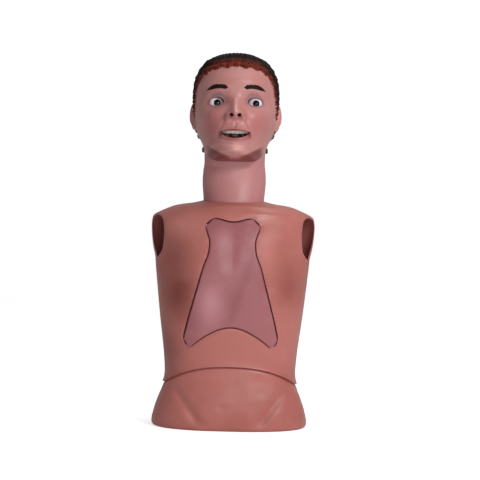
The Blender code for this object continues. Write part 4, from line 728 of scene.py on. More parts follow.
# NECK SLEEVE
# A separate vinyl sleeve plugged into the thorax, with a round dome at the top for the head to tilt over.
# The tilt axle crosses it, and the screws of the retainer hold its foot.
neck_vinyl = vinyl(
    "neck_vinyl",
    colour=linear(198, 134, 134),
    blotch=linear(172, 103, 104),
    bloom=linear(214, 156, 156),
    roughness=0.44,
    painted_shade=linear(130, 60, 60),
    painted_light=linear(218, 162, 162),
)
NECK_RADIUS = 0.0560
NECK_BOTTOM = 0.3955
TILT_AT = Vector((0.0, 0.0080, 0.5090))
DOME_HALF = 0.0565
DOME_RADIUS = 0.0540
neck_at = drawn(
    (
        (NECK_BOTTOM, NECK_RADIUS, NECK_Y - NECK_RADIUS, NECK_Y + NECK_RADIUS),
        (0.4165, NECK_RADIUS, NECK_Y - NECK_RADIUS, NECK_Y + NECK_RADIUS),
        (0.4300, 0.0570, -0.0440, 0.0580),
        (0.4510, 0.0585, -0.0390, 0.0540),
        (0.4740, 0.0572, -0.0365, 0.0520),
        (0.4780, 0.0564, -0.0362, 0.0522),
        (0.4870, 0.0558, -0.0413, 0.0573),
        (0.4980, 0.0560, -0.0449, 0.0609),
        (TILT_AT.z, DOME_HALF, TILT_AT.y - DOME_RADIUS, TILT_AT.y + DOME_RADIUS),
    )
)


def neck_ring(z, angles, grow=0.0):
    """One ring of the neck; above the axle it is an ellipsoid about it."""
    if z <= TILT_AT.z:
        width, front, back = neck_at(z)
        half, middle = (back - front) / 2 + grow, (front + back) / 2
        width = width + grow
    else:
        share = math.sqrt(max(0.0, 1 - ((z - TILT_AT.z) / (DOME_RADIUS + grow)) ** 2))
        width, half, middle = (DOME_HALF + grow) * share, (DOME_RADIUS + grow) * share, TILT_AT.y
    return np.stack([width * np.cos(angles), middle + half * np.sin(angles), z + 0 * angles], -1)


neck_turns = 2 * np.pi * (np.arange(112) + 0.5) / 112
neck_heights = list(np.linspace(NECK_BOTTOM, TILT_AT.z, 44))
neck_heights += [TILT_AT.z + DOME_RADIUS * math.sin(math.radians(a)) for a in range(3, 40, 3)]
neck_rings = [neck_ring(z, neck_turns) for z in neck_heights]
neck = piece("neck_moulding", grid_mesh("neck_moulding", neck_rings, (False, False)), neck_vinyl)
thicken(neck, SHELL_WALL)
DOME_FRONT, DOME_BACK, DOME_RUN = -0.0040, 0.0255, 0.098
slant = math.atan2(DOME_BACK - DOME_FRONT, DOME_RUN)
BLOCK_X, BLOCK_Y, BLOCK_HIGH = 0.08, 0.09, 0.08
corners = ((-1, -1), (1, -1), (1, 1), (-1, 1))
block = np.array([(x * BLOCK_X, y * BLOCK_Y, 0.0) for x, y in corners])
dome_tool = piece("dome_tool", grid_mesh("dome_tool", [block, block + np.array([0, 0, BLOCK_HIGH])]))
dome_place = Vector((0.0, TILT_AT.y, TILT_AT.z + (DOME_FRONT + DOME_BACK) / 2))
dome_tool.matrix_world = Matrix.Translation(dome_place) @ Matrix.Rotation(slant, 4, "X")
AXLE_HOLE_RADIUS = 0.0043
axle_tool = drum("axle_tool", AXLE_HOLE_RADIUS, 0.2, (-0.1, TILT_AT.y, TILT_AT.z), (1, 0, 0), 32)
FLANGE_OUTER, FLANGE_RADIUS, FLANGE_THICK = NECK_RADIUS - SHELL_WALL + 0.0010, 0.0400, 0.0050
flange = drum("flange", FLANGE_OUTER, FLANGE_THICK, (0.0, NECK_Y, NECK_BOTTOM), UPWARDS, 112)
flange_tool = drum("flange_tool", FLANGE_RADIUS, 0.02, (0.0, NECK_Y, NECK_BOTTOM - 0.005), UPWARDS, 112)
carve(flange, flange_tool)
settle(flange, flange_tool)
carve(neck, flange, operation="UNION")
carve(neck, dome_tool, axle_tool)
settle(neck, dome_tool, axle_tool, flange, crease=45)
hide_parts("neck_sleeve")
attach(neck, "neck")


# HEAD SKIN
# One soft moulding: face, ears and curled hair, with painted hair, brows, lids and lips.
# It is hollow, open below for the neck, and has a pocket for the teeth behind the lips.
TILT_REST = math.radians(-18)
EAR_LINE = Vector((0.0, -0.0170, 0.0460))
on_head = Matrix.Translation(TILT_AT) @ Matrix.Rotation(TILT_REST, 4, "X") @ Matrix.Translation(EAR_LINE)
head_at = drawn(
    (
        (-0.0840, 0.0370, -0.0480, 0.0440, 2.0),
        (-0.0825, 0.0415, -0.0680, 0.0470, 2.0),
        (-0.0790, 0.0455, -0.0800, 0.0500, 1.9),
        (-0.0730, 0.0495, -0.0860, 0.0520, 1.85),
        (-0.0650, 0.0525, -0.0870, 0.0550, 1.85),
        (-0.0590, 0.0565, -0.0880, 0.0580, 1.90),
        (-0.0500, 0.0572, -0.0910, 0.0630, 1.95),
        (-0.0390, 0.0602, -0.0930, 0.0690, 2.0),
        (-0.0270, 0.0652, -0.0930, 0.0750, 2.0),
        (-0.0040, 0.0735, -0.0900, 0.0850, 2.1),
        (0.0310, 0.0765, -0.0910, 0.0930, 2.2),
        (0.0540, 0.0765, -0.0910, 0.0950, 2.2),
        (0.0777, 0.0750, -0.0850, 0.0920, 2.1),
        (0.0890, 0.0720, -0.0800, 0.0880, 2.0),
        (0.1010, 0.0665, -0.0710, 0.0800, 2.0),
        (0.1120, 0.0580, -0.0590, 0.0680, 2.0),
        (0.1200, 0.0470, -0.0460, 0.0560, 2.0),
        (0.1260, 0.0310, -0.0300, 0.0390, 2.0),
        (0.1285, 0.0160, -0.0140, 0.0200, 2.0),
        (0.1290, 0.0060, -0.0020, 0.0080, 2.0),
    )
)
EYE_AT = Vector((0.0354, -0.0548, 0.0190))
EYE_RADIUS = 0.0157
LID_WALL = 0.0022
MOUTH_HALF = 0.0285
MOUTH_TOP, MOUTH_CORNER, MOUTH_BOTTOM = -0.0440, -0.0470, -0.0578
hairline_at = drawn(
    (
        (0, 0.081),
        (25, 0.080),
        (45, 0.073),
        (60, 0.060),
        (70, 0.040),
        (80, 0.010),
        (88, 0.006),
        (100, -0.004),
        (120, -0.026),
        (150, -0.034),
        (180, -0.036),
    )
)


def lip_lines(x):
    """Heights of the mouth's upper and lower edge at x."""
    share = np.clip(np.abs(x) / MOUTH_HALF, 0, 1)
    upper = MOUTH_CORNER + (MOUTH_TOP - MOUTH_CORNER) * (1 - share**4)
    lower = MOUTH_CORNER + (MOUTH_BOTTOM - MOUTH_CORNER) * (1 - share**2) ** 0.8
    return upper, lower


def face_relief(x, z):
    """How far the face stands out of the plain skull, in metres; read in millimetres."""
    upper, lower = lip_lines(x)
    x, z, upper, lower = x * 1000, z * 1000, upper * 1000, lower * 1000
    side = np.abs(x)
    run = np.clip((24 - z) / 36, 0, 1)
    crest = 3.0 + 17.5 * run**1.2
    half = 7.0 + 4.0 * step(run)
    rise = crest * step((30 - z) / 16) * step((z + 24.5) / 12.5) * np.exp(-((side / half) ** 2.4))
    rise += 4.0 * bell(side, z, 0, -9.5, 8.5, 6.5)
    rise += 10.0 * bell(side, z, 14.2, -14.5, 5.4, 6.8)
    rise -= 1.2 * bell(side, z, 20.5, -13.5, 2.6, 7)
    rise += 2.0 * bell(x, z, 0, -19, 2.6, 4)
    rise -= 12.0 * bell(side, z, 35.0, 19.0, 17.0, 13.0)
    rise -= 4.2 * bell(side, z, 19.0, 20.0, 6.5, 11)
    rise += 4.5 * bell(side, z, 30, 38.5, 20, 7)
    rise += 1.5 * bell(x, z, 0, 37, 12, 9)
    rise += 4.8 * bell(side, z, 45, -8, 16, 14)
    fold = (side - (17 + 0.55 * (-16 - z))) / 3.0
    rise -= 1.2 * np.exp(-(fold**2)) * step((-12 - z) / 8) * step((z + 48) / 10)
    rise += 5.5 * bell(x, z, 0, -50, 28, 17)
    near = step((31 - side) / 7)
    rise += 2.8 * near * np.exp(-(((z - upper - 2.6) / 2.8) ** 2))
    rise += 3.4 * near * np.exp(-(((z - lower + 3.4) / 3.6) ** 2))
    rise -= 1.4 * bell(side, z, 31.0, -48.5, 3.5, 5)
    rise -= 3.2 * bell(x, z, 0, -68.5, 15, 3.6)
    rise += 5.2 * bell(x, z, 0, -77, 16, 7)
    rise -= 1.3 * bell(x, z, 0, -32, 2.6, 7)
    rise += 0.6 * bell(side, z, 4.6, -32, 1.8, 7)
    return rise / 1000


def head_surface(angle, z, inset=0.0, face_inset=None):
    """The plain skull at arrays of angles and heights, in the ear-line frame."""
    width, front, back, square = head_at(z)
    centre = 0.010 * step((z + 0.06) / 0.06)
    sine, cosine = np.sin(angle), np.cos(angle)
    ahead = sine < 0
    power = np.where(ahead, 2 / square, 1.0)
    forward = centre - front - (inset if face_inset is None else face_inset)
    x = (width - inset) * powered(cosine, power)
    y = centre + np.where(ahead, forward, back - centre - inset) * powered(sine, power)
    return np.stack([x, y, z + 0 * x], -1)


def above_hairline(point):
    """Metres above the hairline, with its scalloped edge."""
    turn = np.degrees(np.arctan2(np.abs(point[..., 0]), -point[..., 1]))
    turn = turn + np.where(point[..., 0] > 0, 7.0, 0.0) * step((turn - 30) / 30)
    scallop = 0.0018 * np.sin(turn * 0.42) + 0.0005 * np.sin(turn * 1.7 + 1.0)
    return point[..., 2] - hairline_at(turn)[0] - scallop


def curls(point):
    """Rows of comma-shaped locks, each row set off from the one below."""
    turn = np.arctan2(point[..., 0], -point[..., 1])
    row = point[..., 2] / 0.0115
    sweep = turn * 6.4 + 0.9 * np.sin(row * 1.1) + 0.5 * np.floor(row)
    lock = np.abs(np.sin(np.pi * (sweep + 0.35 * (row - np.floor(row)))))
    ridge = np.sin(np.pi * (row - np.floor(row))) ** 0.7
    strands = 0.15 * np.sin(34 * (sweep + 0.6 * row))
    return (lock**0.8 * ridge + strands * ridge) * step((0.1290 - point[..., 2]) / 0.0180)


EAR_AT = (0.0756, 0.0100, 0.0168)
EAR_HALF_HEIGHT, EAR_HALF_WIDTH, EAR_LEAN = 0.0290, 0.0150, 0.0041


def beside_ear(point):
    """1 where a point of the skull lies in the ear's oval, 0 outside it, with a soft edge."""
    up = (point[..., 2] - EAR_AT[2]) / EAR_HALF_HEIGHT
    across = (point[..., 1] - EAR_AT[1] - EAR_LEAN * up) / EAR_HALF_WIDTH
    return step((1.05 - np.hypot(across, up)) / 0.10) * (np.abs(point[..., 0]) > 0.050)


def head_skin_surface(angle, z):
    """The skull with the face's forms, the lids over the eyes and the curls of hair."""
    point = head_surface(angle, z)
    outward = np.stack([point[..., 0], point[..., 1], np.maximum(0.0, z - 0.06) * 1.5], -1)
    outward /= np.linalg.norm(outward, axis=-1, keepdims=True)
    weight = step(-np.sin(angle) / 0.3) * (np.sin(angle) < 0)
    point[..., 1] -= face_relief(point[..., 0], z) * weight
    across_eye, up_eye = np.abs(point[..., 0]) - EYE_AT.x, z - EYE_AT.z
    reach = EYE_RADIUS + LID_WALL
    dome = reach**2 - across_eye**2 - up_eye**2
    lid = EYE_AT.y - np.sqrt(np.maximum(dome, 0.0))
    soft = 0.0016
    gap = (point[..., 1] - lid) / soft
    eased = lid - soft * np.log1p(np.exp(np.clip(-gap, -30, 30)))
    use = (dome > 0) & (np.sin(angle) < 0)
    point[..., 1] = np.where(use, np.minimum(point[..., 1], eased), point[..., 1])
    crease = np.exp(-(((np.sqrt(across_eye**2 + (up_eye * 1.25) ** 2) - 0.0148) / 0.0011) ** 2))
    point[..., 1] += 0.0011 * crease * step(up_eye / 0.006) * weight
    above = above_hairline(point)
    share = step(above / 0.0035) * (1 - beside_ear(point))
    return point + outward * (share * (0.0010 + 0.0036 * curls(point)))[..., None]


quarter = np.linspace(0, 1, 90)
quarter = 90 * (0.50 * quarter + 0.50 * quarter**2)
side_turns = np.concatenate([-90 + quarter, np.linspace(0, 90, 46)[1:]])
head_turns = np.radians(np.concatenate([side_turns, 180 - side_turns[::-1][1:-1]]))
HEAD_FOOT = -0.0840
rows = [
    np.linspace(HEAD_FOOT, -0.0700, 12),
    np.linspace(-0.0690, 0.0450, 150),
    np.linspace(0.0462, 0.1180, 56),
    np.array([0.1195, 0.1210, 0.1225, 0.1240, 0.1252, 0.1263, 0.1272, 0.1279, 0.1284, 0.1288, 0.1290]),
]
head_rows = np.concatenate(rows)
head_grid, height_grid = np.meshgrid(head_turns, head_rows)
head_rings = head_skin_surface(head_grid, height_grid)


def transformed(points, matrix):
    points = np.asarray(points, dtype=float)
    turn = np.array(matrix.to_3x3())
    return points @ turn.T + np.array(matrix.translation)


def hair_streaks(tree):
    where = tree.nodes.new("ShaderNodeTexCoord").outputs["Object"]
    return ranged(tree, noise(tree, where, 300.0, 3.0, 0.6, (1.0, 1.0, 0.3)), 0.35, 0.70)


def hair_colour(tree, streaks, dark, light):
    """The hair's colour in its streaks: dark, and reddish along the front edge."""
    dark_lock = mixed(tree, streaks, dark, light)
    red_lock = mixed(tree, streaks, linear(82, 20, 10), linear(134, 50, 28))
    return mixed(tree, mask(tree, "hair_rim"), dark_lock, red_lock)


# Painted vinyl of the face: skin, hair, brows, lid shade and lip tint from masks kept on the mesh, with
# painted shadow under the chin and in the nostrils and painted highlights on the chin and nose tip
face_paint, tree, principled = shader("face_vinyl")
tone = placed(
    tree,
    vinyl_tone,
    Color=linear(203, 141, 136),
    Blotch=linear(176, 104, 102),
    Bloom=linear(217, 162, 158),
    Roughness=0.38,
)
colour = mixed(tree, mask(tree, "blush"), tone.outputs["Color"], linear(184, 100, 98))
# Painted highlights on the chin and the nose tip lighten the skin
colour = mixed(tree, mask(tree, "painted_light"), colour, linear(240, 184, 180))
# Painted shadow under the chin and painted shade round the nostrils darken it
colour = mixed(tree, mask(tree, "rim"), colour, linear(118, 44, 46))
colour = mixed(tree, mask(tree, "lid"), colour, linear(150, 108, 118))
colour = mixed(tree, mask(tree, "lip"), colour, linear(150, 58, 60))
hair = hair_colour(tree, hair_streaks(tree), linear(16, 8, 7), linear(46, 20, 15))
colour = mixed(tree, mask(tree, "hair"), colour, hair)
colour = mixed(tree, mask(tree, "brow"), colour, linear(8, 4, 4))
tree.links.new(colour, principled.inputs["Base Color"])
dull_hair = ranged(tree, mask(tree, "hair"), 0.2, 0.8, 0.0, 0.22)
tree.links.new(sum_of(tree, tone.outputs["Roughness"], dull_hair), principled.inputs["Roughness"])
bumped(tree, tone.outputs["Height"], 0.22, 0.0002, principled)
fleshy(principled)

# A duller paint of its own for the hair and the brows
hair_paint, hair_tree, principled = shader("hair_paint")
streaks = hair_streaks(hair_tree)
hair = hair_colour(hair_tree, streaks, linear(12, 5, 4), linear(40, 17, 12))
hair_tree.links.new(hair, principled.inputs["Base Color"])
principled.inputs["Roughness"].default_value = 0.72
principled.inputs["Specular IOR Level"].default_value = 0.18
bumped(hair_tree, streaks, 0.4, 0.0003, principled)

mouth_red = linear(108, 30, 32)
inner_vinyl = vinyl(
    "mouth_vinyl",
    colour=mouth_red,
    blotch=linear(80, 18, 22),
    bloom=linear(140, 54, 54),
    roughness=0.34,
    painted_shade=mouth_red,
    painted_light=mouth_red,
)

head_form = grid_mesh("head_moulding", transformed(head_rings, on_head))
head = piece("head_moulding", head_form, face_paint, inner_vinyl)


def swell(share, middle, width):
    return np.exp(-(((share - middle) / width) ** 2))


def ear(side):
    """An ear as rings from the hollow's middle out to the rim and round the back."""
    angles = 2 * np.pi * np.arange(72) / 72
    flare = math.radians(30)
    along = np.array([side * math.sin(flare), math.cos(flare), 0.0])
    up_ear = np.array([0.0, 0.14, 0.99])
    out = np.array([side * math.cos(flare), -math.sin(flare), 0.0])
    centre = np.array([side * EAR_AT[0], EAR_AT[1], EAR_AT[2]])
    made = []
    stages = [(r, False) for r in np.linspace(0.04, 1.0, 30)]
    stages += [(r, True) for r in (0.99, 0.93, 0.80, 0.6, 0.35, 0.06)]
    for r, behind in stages:
        u = 0.0165 * r * np.cos(angles) * (1 + 0.16 * np.sin(angles))
        v = np.where(np.sin(angles) < 0, 0.0280, 0.0300) * r * np.sin(angles)
        a, b = u * 1000, v * 1000
        back_part = step((np.cos(angles) + 0.55) / 0.5)
        top_part = step((np.sin(angles) + 0.75) / 0.5)
        rim_part = np.maximum(back_part, step(np.sin(angles) / 0.5))
        lift = 3.4 * swell(r, 0.90, 0.085) * rim_part * top_part
        lift += 2.3 * swell(r, 0.60, 0.11) * back_part * step((np.sin(angles) + 0.5) / 0.6)
        lift -= 1.0 * swell(r, 0.76, 0.06) * back_part
        lift -= 6.5 * bell(a, b, -2.5, -4.0, 6.2, 9.0)
        lift -= 2.0 * bell(a, b, -1.5, 9.0, 4.0, 5.0)
        lift += 3.0 * bell(a, b, -12.0, -5.0, 3.0, 4.0)
        lift += 1.6 * bell(a, b, 1.0, -22.0, 6.0, 5.0)
        lift = np.where(behind, -2.4 - 3.0 * (1 - r), lift * step((1.02 - r) / 0.06) - 0.6)
        made.append(centre + u[:, None] * along + v[:, None] * up_ear + lift[:, None] / 1000 * out)
    return piece(f"ear_{side}", grid_mesh("ear", transformed(made, on_head)))


ears = [ear(-1), ear(1)]
ear_points = [vert.co.copy() for made in ears for vert in made.data.vertices]
carve(head, *ears, operation="UNION")

# The hollow of the head: skull room, neck room at three tilts, rim wedge, sockets, mouth and nostrils
coarse = head_turns[::6]
HEAD_WALL, FACE_WALL = 0.0040, 0.0140
ROOM_STRETCH = 0.2075 / 0.2055
room_rows = np.linspace(HEAD_FOOT, 0.1215, 24)
grid_a, grid_z = np.meshgrid(coarse, room_rows)
hollow_rings = head_surface(grid_a, HEAD_FOOT + (grid_z - HEAD_FOOT) * ROOM_STRETCH, HEAD_WALL, FACE_WALL)
hollow = piece("hollow", grid_mesh("hollow", transformed(hollow_rings, on_head)))
room_turns = 2 * np.pi * (np.arange(64) + 0.5) / 64
CLEAR = 0.0012
TILT_BACK, TILT_FORWARD = -25, 18
room_heights = list(np.linspace(0.40, TILT_AT.z, 12))
for climb in (10, 20, 30, 40, 50, 60, 70, 80, 87):
    room_heights.append(TILT_AT.z + (DOME_RADIUS + CLEAR) * math.sin(math.radians(climb)))
hollow_tools = []
for number, turn in enumerate((TILT_BACK, 0, TILT_FORWARD)):
    rings = np.array([neck_ring(z, room_turns, CLEAR) for z in room_heights])
    tilted = Matrix.Rotation(math.radians(-turn), 4, "X")
    about = Matrix.Translation(TILT_AT) @ tilted @ Matrix.Translation(-TILT_AT)
    hollow_tools.append(piece(f"room_{number}", grid_mesh("room", transformed(rings, about))))
WEDGE_FRONT, WEDGE_BACK, APEX = math.radians(39), math.radians(-12), 0.0082
WEDGE_REACH = 0.16
wedge = [
    (0.0, APEX),
    (-WEDGE_REACH * math.cos(WEDGE_FRONT), APEX - WEDGE_REACH * math.sin(WEDGE_FRONT)),
    (-0.10, -0.20),
    (0.12, -0.20),
    (WEDGE_REACH * math.cos(WEDGE_BACK), APEX - WEDGE_REACH * math.sin(WEDGE_BACK)),
]
about_axle = Matrix.Translation(TILT_AT) @ Matrix.Rotation(TILT_REST, 4, "X")
wedge_rings = [[(x, y, z) for y, z in wedge] for x in (-0.1, 0.1)]
hollow_tools.append(piece("wedge", grid_mesh("wedge", transformed(wedge_rings, about_axle))))

almond_turns = 2 * np.pi * np.arange(64) / 64
LID_HALF, LID_UPPER, LID_LOWER = 0.0139, 0.0090, 0.0072
SOCKET_GAP = 0.0003
for side in (-1, 1):
    polar = np.linspace(0.06, np.pi - 0.06, 24)
    spin = 2 * np.pi * np.arange(48) / 48
    radius = EYE_RADIUS + SOCKET_GAP
    rings = [
        [
            (
                side * EYE_AT.x + radius * math.sin(p) * math.cos(s),
                EYE_AT.y + radius * math.sin(p) * math.sin(s),
                EYE_AT.z - radius * math.cos(p),
            )
            for s in spin
        ]
        for p in polar
    ]
    hollow_tools.append(piece("socket", grid_mesh("socket", transformed(rings, on_head))))
    reach = np.where(np.sin(almond_turns) > 0, LID_UPPER, LID_LOWER)
    ax = side * EYE_AT.x + LID_HALF * np.cos(almond_turns)
    az = EYE_AT.z + reach * powered(np.sin(almond_turns), 0.9) + 0.0006 * side * np.cos(almond_turns)
    rings = [np.stack([ax, y + 0 * ax, az], -1) for y in (-0.110, EYE_AT.y)]
    hollow_tools.append(piece("lids", grid_mesh("lids", transformed(rings, on_head))))
lip_x = np.concatenate([np.linspace(-1, 1, 41), np.linspace(1, -1, 41)[1:-1]]) * MOUTH_HALF
lip_top, lip_bottom = lip_lines(lip_x)
lip_z = np.where(np.arange(len(lip_x)) < 41, lip_bottom, lip_top)
LIP_FACE = -0.1000
level = math.tan(-TILT_REST)
rings = [np.stack([lip_x, y + 0 * lip_x, lip_z + (y - LIP_FACE) * level], -1) for y in (-0.130, -0.070)]
hollow_tools.append(piece("lips", grid_mesh("lips", transformed(rings, on_head))))
POCKET_AT, POCKET_RADIUS, POCKET_DEPTH = (0.0, -0.0660, 0.5210), 0.0290, 0.0335
hollow_tools.append(drum("pocket", POCKET_RADIUS, POCKET_DEPTH, POCKET_AT, UPWARDS, 64))
NOSTRIL_X, NOSTRIL_BORE, DUCT_HEIGHT, DUCT_SEAT_RADIUS = 0.0067, 0.0034, 0.5760, 0.0059
# Place along Y, half width and half height of a nostril, from before the face to the duct behind it
nostril_stations = (
    (-0.130, 0.0050, 0.0028),
    (-0.1020, 0.0050, 0.0028),
    (-0.0960, 0.0036, 0.0034),
    (-0.05, NOSTRIL_BORE, NOSTRIL_BORE),
)
for side in (-1, 1):
    spin = 2 * np.pi * np.arange(32) / 32
    rings = []
    for y, wide, high in nostril_stations:
        middle_x, middle_z = side * (NOSTRIL_X + wide - NOSTRIL_BORE), DUCT_HEIGHT - 0.0002
        rings.append([(middle_x + wide * math.cos(s), y, middle_z + high * math.sin(s)) for s in spin])
    hollow_tools.append(piece("nostril", grid_mesh("nostril", rings)))
    seat_at = (side * NOSTRIL_X, -0.0190, DUCT_HEIGHT)
    hollow_tools.append(drum("seat", DUCT_SEAT_RADIUS, 0.06, seat_at, (0, -1, 0), 32))
carve(hollow, *hollow_tools, operation="UNION")
settle(hollow, *hollow_tools)
for polygon in hollow.data.polygons:
    polygon.material_index = 1
hollow.data.materials.clear()
hollow.data.materials.append(face_paint)
hollow.data.materials.append(inner_vinyl)
carve(head, hollow)
settle(head, hollow, *ears, crease=42)

# Paint masks, read from where each point lies in the head's own frame, in millimetres.
# The painted shadow under the chin is read in the scene's frame, in metres.
SAME_POINT = 0.00002
points = np.array([vert.co for vert in head.data.vertices])
local = transformed(points, on_head.inverted())
px, py, pz = local[:, 0] * 1000, local[:, 1] * 1000, local[:, 2] * 1000
side_x = np.abs(px)
above = above_hairline(local) * 1000
ear_tree = KDTree(len(ear_points))
for number, place in enumerate(ear_points):
    ear_tree.insert(place, number)
ear_tree.balance()
on_ear = np.array([ear_tree.find(vert.co)[2] < SAME_POINT for vert in head.data.vertices])
in_ear = np.maximum(on_ear, beside_ear(local))
paint = {"hair": step(above / 1.6) * (1 - in_ear)}
red_edge = step((27 - above) / 18) * step((above + 8) / 4)
paint["hair_rim"] = red_edge * step((98 - np.degrees(np.arctan2(side_x, -py))) / 30)
brow_line = 44.6 - 0.016 * np.abs(side_x - 39) ** 1.9 * np.where(side_x > 39, 1.0, 0.62)
brow_half = 4.6 * step((side_x - 13.0) / 7) * step((56.0 - side_x) / 15) ** 0.7
paint["brow"] = step((brow_half - np.abs(pz - brow_line)) / 0.7 + 0.5) * (brow_half > 0.3) * (py < -40)
eye_far = np.sqrt(((side_x - 35.4) / 17.0) ** 2 + ((pz - 21.0) / 13.0) ** 2)
paint["lid"] = 0.75 * step((1.25 - eye_far) / 0.5) * (py < -40)
upper, lower = lip_lines(local[:, 0])
upper, lower = upper * 1000, lower * 1000
band = step((30.5 - side_x) / 3)
upper_lip = band * (step((upper + 4.4 - pz) / 1.6) * step((pz - upper + 6) / 3)) * (pz > upper - 3)
lower_lip = 0.55 * band * step((pz - lower + 5.5) / 2.4) * (pz < lower + 3)
paint["lip"] = np.maximum(upper_lip, lower_lip) * (py < -60)
# Painted shadow under the jaw, strongest in the middle, and painted shade round the nostrils
under_chin = 0.4990 + 0.0115 * (np.abs(points[:, 0]) / 0.030) ** 1.2 - points[:, 2]
jaw_end = step((0.056 - np.abs(points[:, 0])) / 0.012)
chin_shade = 0.90 * step(under_chin / 0.0045) * (points[:, 1] < -0.03) * jaw_end
nostril_shade = 0.9 * bell(side_x, pz, 8.0, -16.0, 4.6, 3.4) * (py < -88)
paint["rim"] = np.maximum(chin_shade, nostril_shade)
# Painted highlights on the chin and the nose tip
paint["painted_light"] = 0.8 * bell(px, pz, 3, -71, 13, 7) * (py < -60)
paint["painted_light"] += 0.5 * bell(px, pz, 3, -12, 5, 5) * (py < -90)
paint["blush"] = 0.55 * bell(side_x, pz, 44, -22, 22, 20) * (py < -20)
paint["blush"] += 0.35 * bell(px, pz, 0, -16, 14, 8) * (py < -90)
for word, values in paint.items():
    masked(head, word, values)
head.data.materials.append(hair_paint)
painted = np.maximum(paint["hair"], paint["brow"])
for polygon in head.data.polygons:
    if polygon.material_index == 0 and painted[list(polygon.vertices)].min() > 0.6:
        polygon.material_index = 2
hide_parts("head_skin")
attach(head, "head")


# EYES
# Two hard, glossy balls inserted in sockets behind the lids, both turned a little to the same side.
# A pale glaze with a round dark iris and its faint rim, pinker towards the corners.
def eye_material():
    made, tree, principled = shader("eye_glaze")
    ring = mask(tree, "iris_angle")
    sclera = mixed(tree, ranged(tree, ring, 38.0, 75.0), linear(252, 244, 244), linear(224, 176, 174))
    veins = tree.nodes.new("ShaderNodeTexCoord").outputs["Object"]
    threads = ranged(tree, noise(tree, veins, 420.0, 4.0, 0.7), 0.60, 0.72, 0.0, 0.25)
    sclera = mixed(tree, threads, sclera, linear(214, 150, 150))
    threads_of_iris = noise(tree, veins, 900.0, 2.0)
    iris = mixed(tree, threads_of_iris, linear(5, 4, 5), linear(22, 20, 26))
    colour = mixed(tree, ranged(tree, ring, 23.6, 24.8), iris, sclera)
    rim = sum_of(tree, ranged(tree, ring, 20.0, 23.0), ranged(tree, ring, 24.6, 23.8), "MULTIPLY")
    colour = mixed(tree, rim, colour, linear(20, 16, 18))
    colour = mixed(tree, ranged(tree, ring, 16.5, 15.5), colour, linear(4, 4, 5))
    tree.links.new(colour, principled.inputs["Base Color"])
    principled.inputs["Roughness"].default_value = 0.09
    principled.inputs["Specular IOR Level"].default_value = 0.35
    return made


eye_glaze = eye_material()
CORNEA_RISE, EYE_GAP = 0.0007, 0.0001
gaze = Vector((0.11, -1.0, -0.07)).normalized()
aside = gaze.cross(Vector((0, 0, 1))).normalized()
upward = aside.cross(gaze)
angles = 2 * np.pi * np.arange(64) / 64
round_gaze = np.cos(angles)[:, None] * np.array(aside) + np.sin(angles)[:, None] * np.array(upward)
for side, word in ((-1, "left"), (1, "right")):
    rings, spread = [], []
    for polar in np.radians(np.concatenate([np.linspace(0.5, 40, 50), np.linspace(43, 179, 40)])):
        cornea = CORNEA_RISE * max(0.0, 1 - (polar / math.radians(24)) ** 2)
        radius = EYE_RADIUS + cornea - EYE_GAP
        ring = radius * math.cos(polar) * np.array(gaze) + radius * math.sin(polar) * round_gaze
        rings.append(ring + np.array((side * EYE_AT.x, EYE_AT.y, EYE_AT.z)))
        spread += [math.degrees(polar)] * len(angles)
    eye = piece("glass_eye_" + word, grid_mesh("glass_eye_" + word, transformed(rings, on_head)), eye_glaze)
    masked(eye, "iris_angle", spread)
    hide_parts("eye_" + word)
    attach(eye, "head")


# TEETH
# Two arches of rounded crowns in polished ivory plastic, twelve to an arch, set side by side.
# They stand in the pocket behind the lips, and each crown is a little narrower at its root.
tooth_gloss, tree, principled = shader("tooth_ivory")
where = tree.nodes.new("ShaderNodeTexCoord").outputs["Object"]
stain = ranged(tree, noise(tree, where, 180.0, 3.0), 0.4, 0.8, 0.0, 0.5)
ivory = mixed(tree, stain, linear(255, 250, 244), linear(244, 232, 214))
tree.links.new(ivory, principled.inputs["Base Color"])
principled.inputs["Roughness"].default_value = 0.18
ARCH_Y, ARCH_RADIUS = POCKET_AT[1], 0.0222
CROWN_HALF_DEPTH = 0.0026


def teeth(name, low, high, root):
    """Twelve crowns round the arch; root is 1 where they are rooted above and -1 below."""
    form = bmesh.new()
    half_widths_in_mm = (4.3, 3.5, 3.9, 3.7, 3.7, 4.6)
    middle = (low + high) / 2
    for side in (-1, 1):
        travelled = 0.0
        for half_in_mm in half_widths_in_mm:
            half = half_in_mm / 1000
            turn = (travelled + half) / ARCH_RADIUS * 0.93
            travelled += 2 * half
            ball = bmesh.ops.create_uvsphere(form, u_segments=20, v_segments=14, radius=1.0)
            frame_turn = Matrix.Rotation(side * turn, 4, "Z")
            for vert in ball["verts"]:
                a, b, c = vert.co
                a, b, c = powered(a, 0.62), powered(b, 0.75), powered(c, 0.55)
                taper = 1 - 0.10 * c * root
                height = middle + c * (high - low) / 2 * 0.98
                spot = Vector((a * half * taper, b * CROWN_HALF_DEPTH - ARCH_RADIUS, height))
                vert.co = frame_turn @ spot + Vector((0.0, ARCH_Y, 0.0))
    mesh = bpy.data.meshes.new(name)
    form.to_mesh(mesh)
    form.free()
    mesh.shade_smooth()
    return piece(name, mesh, tooth_gloss)


for name, node, low, high, root in (
    ("upper_crowns", "upper_teeth", 0.5413, 0.5515, 1),
    ("lower_crowns", "lower_teeth", 0.5220, 0.5317, -1),
):
    crowns = teeth(name, low, high, root)
    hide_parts(node)
    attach(crowns, "head")


